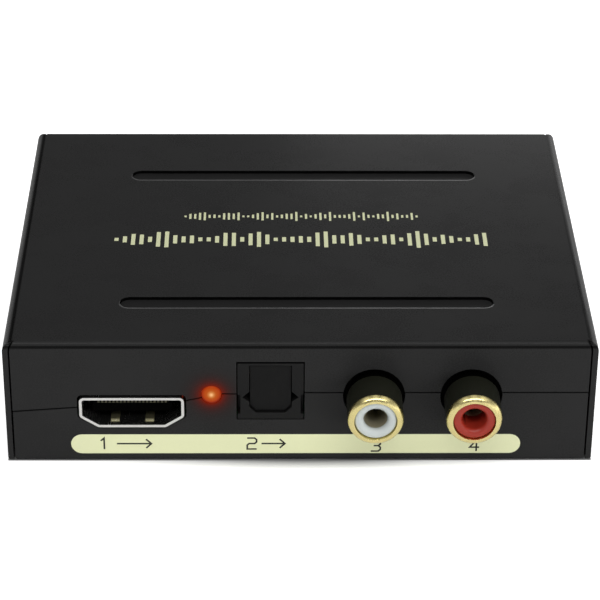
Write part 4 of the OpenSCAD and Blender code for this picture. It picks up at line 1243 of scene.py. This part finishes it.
@dataclass
class PhonoJacks:
    """The pair of phono jacks: one housing, and a gold sleeve, a filling and a contact in each barrel.

    Args:
        axes_x: X of the two barrels' axes.
        axis_z: Their height.
        barrel: Rounding of the housing's edges.
        nose: Rounding of the gold sleeves' edges.
        hole_r: Radius of the hole for the plug's pin.
        nose_y: Y of the fillings' front faces.
        near_nose: How far behind these a point still belongs to a face, and an edge to its hole's rim.
        funnel_mm: Radius of the rounded mouth of a hole.
        collar_y: Front and back of the collar behind each barrel, where the panel surrounds it.
        collar_r: Radii between which the collar's points lie.
        step_y: Y in front of which the collar's points get the barrel's radius and not the neck's, and Y in front
            of which they are drawn forward.
        step_r: The barrel's radius there.
        neck_r: Radius that the rest is drawn in to, so that a dark gap shows round it.
        neck_mm: How far the neck reaches out of the panel.
        root_y: Y behind which a barrel lies in the panel's dark, where it is painted near black as shade.
        sunk_mm: How far a filling's face is set back.
        lips_y: Y of the left and the right contact's front lips, which the plug's pin passes first.
        grip_r: Inner and outer radius of these lips.
        grip_back: Y of their back end.
        lip_flare: How far they flare at the front.
        grip_steps: Faces round them.
    """

    axes_x: Point2 = (10.6, 24.6)
    axis_z: float = 11.05
    barrel: EdgeRule = EdgeRule(0.12)
    nose: EdgeRule = EdgeRule(0.08)
    hole_r: float = 1.7
    nose_y: float = -40.3
    near_nose: Point2 = (1.2, 0.2)
    funnel_mm: float = 0.75
    collar_y: Point2 = (-33.35, -32.3)
    collar_r: Point2 = (3.9, 4.5)
    step_y: Point2 = (-33.21, -33.05)
    step_r: float = 3.98
    neck_r: float = 3.5
    neck_mm: float = 0.9
    root_y: float = -34.3
    sunk_mm: float = 0.45
    lips_y: Point2 = (-39.2, -36.2)
    grip_r: Point2 = (1.5, 1.68)
    grip_back: float = -34.9
    lip_flare: float = 0.1
    grip_steps: int = 48

    def build(self) -> None:
        """Softens what shows and dresses the contacts."""
        looks = ("jack_barrels", BARREL_BLACK, "socket_black")
        shaping = {"reshape": self.narrow, "ring_y": self.root_y}
        housing = StandIn("phono_housing", *looks, (self.barrel,), **shaping).build()
        # Painted shade: the barrels' roots behind root_y are painted near black, for the dark of the panel's holes
        tint(housing, SHADE_BLACK, lambda middle: middle.y > self.root_y)
        funnel = (EdgeRule(self.funnel_mm, 6, self.at_hole),)
        for side, x, lip, filling, slot in (
            ("left", self.axes_x[0], self.lips_y[0], WHITE_FILLING, "insulator_white"),
            ("right", self.axes_x[1], self.lips_y[1], RED_FILLING, "insulator_red"),
        ):
            StandIn(f"phono_{side}_sleeve", f"{side}_gold_nose", PALE_GOLD, "gold_plate", (self.nose,)).build()
            StandIn(f"phono_{side}_insulator", f"{side}_filling", filling, slot, funnel, reshape=self.sink).build()
            self.grip(f"{side}_pin_grip", x, lip)
            dress(f"phono_{side}_contact", CONTACT_GOLD)

    def grip(self, name: str, x: float, lip: float) -> None:
        """Turns the lips that grip a plug's pin in the dark of a jack's hole.

        Args:
            name: The new piece's name.
            x: X of the jack's axis.
            lip: Y of the lips' front.
        """
        (inner, outer), flare, back = self.grip_r, self.lip_flare, self.grip_back
        outline = [(inner, lip + 2 * flare), (inner + flare, lip), (outer, lip + flare), (outer, back), (inner, back)]
        form = bmesh.new()
        rings = []
        for k in range(self.grip_steps):
            angle = 2 * math.pi * k / self.grip_steps
            way = Vector((math.cos(angle), 0, math.sin(angle)))
            rings.append([form.verts.new((Vector((x, y, self.axis_z)) + way * r) * MM) for r, y in outline])
        for ring, ahead in zip(rings, rings[1:] + rings[:1]):
            for i in range(len(outline)):
                j = (i + 1) % len(outline)
                form.faces.new((ring[i], ring[j], ahead[j], ahead[i])).smooth = True
        mesh = closed(form, name)
        mesh.set_sharp_from_angle(angle=SMOOTH_ANGLE)
        new_piece(name, mesh, GRIP_BRONZE, CASE)

    def from_axis(self, spot: Vector) -> float:
        """Gives the distance of a place from the nearer barrel's axis."""
        return min(math.hypot(spot.x - x, spot.z - self.axis_z) for x in self.axes_x)

    def at_hole(self, middle: Vector) -> bool:
        """Says whether an edge is the front rim of a plug's hole."""
        near = self.near_nose[1]
        return middle.y < self.nose_y + near and self.from_axis(middle) < self.hole_r + near

    def narrow(self, spot: Vector) -> Vector:
        """Draws the barrels in where the panel surrounds them.

        Args:
            spot: A point's place.

        Returns:
            Its new place.
        """
        away = self.from_axis(spot)
        low, high = self.collar_r
        if not (self.collar_y[0] < spot.y < self.collar_y[1] and low < away < high):
            return spot
        x = min(self.axes_x, key=lambda axis: abs(axis - spot.x))
        share = (self.step_r if spot.y < self.step_y[0] else self.neck_r) / away
        y = spot.y - self.neck_mm if spot.y < self.step_y[1] else spot.y
        return Vector((x + (spot.x - x) * share, y, self.axis_z + (spot.z - self.axis_z) * share))

    def sink(self, spot: Vector) -> Vector:
        """Sets a filling's face back inside its gold nose."""
        return spot + Vector((0, self.sunk_mm, 0)) if spot.y < self.nose_y + self.near_nose[0] else spot


@dataclass
class SmallParts:
    """The lamp, the rear sockets, the board and what stands on it.

    Args:
        shown: The pieces that show.
        hidden: The nodes in the case's dark that get each finish.
    """

    shown: tuple[StandIn, ...] = (
        StandIn("status_lamp", "lamp_lens", LENS, "lamp_red", (EdgeRule(0.1),)),
        StandIn("power_jack_housing", "power_jack_body", SOCKET_BLACK, "socket_black", (EdgeRule(0.12),)),
        StandIn("power_jack_pin", "power_centre_pin", TIN, "tinned_leads", (EdgeRule(0.08),)),
        StandIn("mode_switch_frame", "switch_frame", ZINC, "plain_steel", (EdgeRule(0.05, 1),)),
        StandIn("mode_switch_knob", "switch_knob", KNOB_WHITE, "knob_white", (EdgeRule(0.2, 3),), MODE_KNOB),
    )
    hidden: tuple[tuple[Finish, tuple[str, ...]], ...] = (
        (TIN, ("status_lamp_leads", "mode_switch_pins", "inductor_terminals")),
        (TIN, ("video_chip_leads", "audio_chip_leads", "memory_chip_leads", "regulator_leads")),
        (CHIP, ("video_chip", "audio_chip", "memory_chip", "voltage_regulator")),
        (CHIP, ("capacitor_bases", "resistors", "surge_arrays")),
        (ZINC, ("board_screws", "crystal_can", "crystal_base")),
        (CONTACT_GOLD, ("power_jack_spring",)),
        (SOCKET_BLACK, ("mode_switch_base",)),
        (BOARD, ("main_board",)),
        (TURNED_BRASS, ("board_standoffs",)),
        (FERRITE, ("power_inductor",)),
        (ALUMINIUM, ("capacitor_cans",)),
        (CERAMIC, ("ceramic_capacitors",)),
    )

    def build(self) -> None:
        """Softens what shows and dresses the rest."""
        for piece in self.shown:
            piece.build()
        for finish, nodes in self.hidden:
            for node in nodes:
                dress(node, finish)


# Studio


@dataclass(frozen=True)
class SoftBox:
    """A soft lamp of a studio.

    Args:
        name: Its name.
        place: Its middle in metres.
        size: Its width and height in metres.
        power: Its power in watts.
        aim: The point that it faces.
        mirrored: Whether shiny surfaces show it.
        seen: Whether the camera sees it.
    """

    name: str
    place: Point3
    size: Point2
    power: float
    aim: Point3 = (0.0, 0.0, 0.01)
    mirrored: bool = True
    seen: bool = True

    def build(self) -> None:
        """Adds the lamp."""
        lamp = bpy.data.lights.new(self.name, "AREA")
        lamp.shape = "RECTANGLE"
        lamp.size, lamp.size_y = self.size
        lamp.energy = self.power
        stand = bpy.data.objects.new(self.name, lamp)
        stand.location = self.place
        stand.rotation_euler = (Vector(self.aim) - Vector(self.place)).to_track_quat("-Z", "Y").to_euler()
        stand.visible_glossy = self.mirrored
        stand.visible_camera = self.seen
        bpy.context.scene.collection.objects.link(stand)


@dataclass
class Studio:
    """Floor, lamps, surroundings and camera.

    Args:
        camera_place: The camera's place in millimetres.
        clip_m: Nearest distance that it shows, in metres.
        pitch: How far it looks down, in degrees.
        yaw: How far it is turned to the right, in degrees.
        roll: How far its right side is raised, in degrees.
        focal_px: Focal length in pixels of the photograph.
        photo_px: Width of the photograph.
        sensor_mm: Width of the camera's sensor.
        floor_half: Half the floor's width in metres.
        floor_z: Height of the floor in millimetres, just under the case.
        paper: The floor's brightness under the case and clear of it; it is darker near the case as a painted shadow.
        lift: What the camera sees added to it, at the sides and before the middle of the case.
        glow: What the rest sees added to it.
        under_mm: Distance from the case at which the floor still counts as under it.
        shadow_mm: Width of the contact shadow painted on the floor.
        shadow_reach_mm: Distance to the side at which it is half as dark.
        room_heights: Heights, from 0 at the ground to 1 overhead, at which the room's brightness is given.
        room: Brightness at each.
        flag_places: Places, from 0 at the left to 1 at the right, at which the dark flags' share is given.
        flags: Share of the brightness that is left at each.
        room_light: Strength of the room's light.
        lamps: The soft lamps.
    """

    camera_place: Point3 = (-4.74, -340.69, 207.1)
    clip_m: float = 0.01
    pitch: float = 30.36
    yaw: float = 0.853
    roll: float = 0.422
    focal_px: float = 2534.3
    photo_px: float = 600.0
    sensor_mm: float = 36.0
    floor_half: float = 3.0
    floor_z: float = -0.1
    paper: Point2 = (0.25, 0.9)
    lift: Point2 = (0.97, 0.5)
    glow: float = 0.09
    under_mm: float = 0.05
    shadow_mm: float = 2.4
    shadow_reach_mm: float = 20.0
    room_heights: tuple[float, ...] = (0.0, 0.08, 0.25, 0.45, 0.6, 0.85, 1.0)
    room: tuple[float, ...] = (1.2, 1.0, 0.35, 0.18, 0.16, 0.7, 0.7)
    flag_places: tuple[float, ...] = (0.0, 0.225, 0.31, 0.35, 0.4, 0.45, 0.5, 0.55, 0.6, 0.65, 0.69, 0.775, 1.0)
    flags: tuple[float, ...] = (0.12, 0.24, 0.24, 0.05, 0.05, 0.22, 0.25, 0.22, 0.05, 0.05, 0.33, 0.33, 0.42)
    room_light: float = 4.0
    lamps: tuple[SoftBox, ...] = (
        SoftBox("overhead_softbox", (0.0, -0.55, 0.72), (1.0, 0.2), 3.5),
        SoftBox("rear_glow_card", (0.065, 0.145, 0.058), (0.13, 0.04), 0.022, (0.03, 0.02, 0.02), seen=False),
        SoftBox("right_front_fill", (0.3, -0.38, 0.06), (0.3, 0.12), 0.56, mirrored=False, seen=False),
        SoftBox("rear_fill", (-0.1, 1.0, 0.12), (1.2, 0.24), 1.4, mirrored=False),
    )

    def build(self) -> None:
        """Sets up the whole studio."""
        self.camera()
        self.floor()
        self.surroundings()
        for lamp in self.lamps:
            lamp.build()
        bpy.context.scene.view_settings.view_transform = "Standard"

    def camera(self) -> None:
        """Adds the camera at the photograph's place."""
        eye = bpy.data.cameras.new("photo_camera")
        eye.sensor_fit = "HORIZONTAL"
        eye.sensor_width = self.sensor_mm
        eye.lens = self.focal_px / self.photo_px * self.sensor_mm
        eye.clip_start = self.clip_m
        holder = bpy.data.objects.new("photo_camera", eye)
        holder.location = mm(*self.camera_place)
        aim = Matrix.Rotation(-math.radians(self.yaw), 3, "Z")
        aim @= Matrix.Rotation(math.radians(90 - self.pitch), 3, "X")
        aim @= Matrix.Rotation(math.radians(self.roll), 3, "Z")
        holder.rotation_euler = aim.to_euler()
        bpy.context.scene.collection.objects.link(holder)
        bpy.context.scene.camera = holder

    def floor(self) -> None:
        """Lays a pale floor that the camera sees as white but for the object's shadow and a painted contact shadow.
        """
        mesh = bpy.data.meshes.new("studio_floor")
        corners = [(-1, -1), (1, -1), (1, 1), (-1, 1)]
        places = [(x * self.floor_half, y * self.floor_half, self.floor_z * MM) for x, y in corners]
        mesh.from_pydata(places, [], [(0, 1, 2, 3)])
        material = bpy.data.materials.new("pale_paper")
        material.use_nodes = True
        tree = material.node_tree
        tree.nodes.clear()
        clear, middle = self.clear_of_case(tree)
        # Painted contact shadow: the paper is darker near the case, most at the middle of its width
        ends = {"To Min": self.paper[0], "To Max": self.paper[1]}
        white = put(tree, "ShaderNodeMapRange", {"Value": clear, **ends})
        pale = put(tree, "ShaderNodeBsdfDiffuse", {"Color": white})
        camera = put(tree, "ShaderNodeLightPath").outputs["Is Camera Ray"]
        ends = {"To Min": self.lift[0], "To Max": self.lift[1]}
        lift = put(tree, "ShaderNodeMapRange", {"Value": middle, **ends})
        shows = put(tree, MATH, [camera, lift], operation="MULTIPLY")
        least = put(tree, MATH, [shows, self.glow], operation="MAXIMUM")
        level = put(tree, MATH, [least, clear], operation="MULTIPLY")
        glow = put(tree, "ShaderNodeEmission", {"Color": WHITE, "Strength": level})
        both = put(tree, "ShaderNodeAddShader", [pale, glow])
        put(tree, "ShaderNodeOutputMaterial", {"Surface": both})
        mesh.materials.append(material)
        plane = bpy.data.objects.new("studio_floor", mesh)
        bpy.context.scene.collection.objects.link(plane)

    def clear_of_case(self, tree: Tree) -> tuple[Node, Node]:
        """Gives the two shares that shape the contact shadow painted round the case.

        Args:
            tree: The floor's tree.

        Returns:
            A share that is 0 under the case and 1 past a narrow border round it, and one that is 1 at the middle
            of the case's width and falls off to its sides, as the shadow does.
        """
        place = put(tree, "ShaderNodeTexCoord").outputs["Object"]
        size = put(tree, "ShaderNodeVectorMath", [place], operation="ABSOLUTE")
        # The third measure only has to pass the floor's own height
        past = put(tree, "ShaderNodeVectorMath", [size, mm(HALF_W, HALF_D, 1.0)], operation="SUBTRACT")
        out = put(tree, "ShaderNodeVectorMath", [past, (0, 0, 0)], operation="MAXIMUM")
        away = put(tree, "ShaderNodeVectorMath", [out], operation="LENGTH").outputs["Value"]
        middle = put(tree, "ShaderNodeSeparateXYZ", [place])
        # 1 / (1 + (x / reach) ** 2)
        steps = (("DIVIDE", self.shadow_reach_mm * MM), ("POWER", 2.0), ("ADD", 1.0), ("POWER", -1.0))
        for operation, number in steps:
            middle = put(tree, MATH, [middle, number], operation=operation)
        rise = put(tree, MATH, [away, self.shadow_mm * MM], operation="DIVIDE", use_clamp=True)
        dark = put(tree, MATH, [1.0, rise], operation="SUBTRACT")
        shade = put(tree, MATH, [dark, middle], operation="MULTIPLY")
        light = put(tree, MATH, [1.0, shade], operation="SUBTRACT")
        outside = put(tree, MATH, [away, self.under_mm * MM], operation="GREATER_THAN")
        return put(tree, MATH, [light, outside], operation="MULTIPLY"), middle

    def surroundings(self) -> None:
        """Fills the room round the lamps: dim walls, darker low down, and a paler ceiling."""
        world = bpy.data.worlds.new("studio_room")
        world.use_nodes = True
        tree = world.node_tree
        tree.nodes.clear()
        way = put(tree, "ShaderNodeSeparateXYZ", [put(tree, "ShaderNodeTexCoord")]).outputs
        across = put(tree, "ShaderNodeMapRange", {"Value": way["X"], "From Min": -1.0})
        ramps = []
        for share, *levels in ((way["Z"], self.room_heights, self.room), (across, self.flag_places, self.flags)):
            ramps.append(put(tree, "ShaderNodeValToRGB", {"Fac": share}))
            set_stops(ramps[-1], [(where, (level, level, level, 1.0)) for where, level in zip(*levels)])
        bright = put(tree, MATH, [ramps[1], self.room_light], operation="MULTIPLY")
        sky = put(tree, "ShaderNodeBackground", {"Color": ramps[0], "Strength": bright})
        put(tree, "ShaderNodeOutputWorld", {"Surface": sky})
        bpy.context.scene.world = world


def main() -> None:
    """Builds the studio and every sub-assembly."""
    logging.basicConfig(level=logging.INFO, format="%(message)s")
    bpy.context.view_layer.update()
    Studio().build()
    SheetCase().build()
    strips = strip_row()
    VideoSocket("video_out", -24.3, -HALF_D, 1).build(strips)
    VideoSocket("video_in", 20.0, HALF_D, -1).build(strips)
    OpticalSocket().build()
    PhonoJacks().build()
    SmallParts().build()


if __name__ == "__main__":
    main()
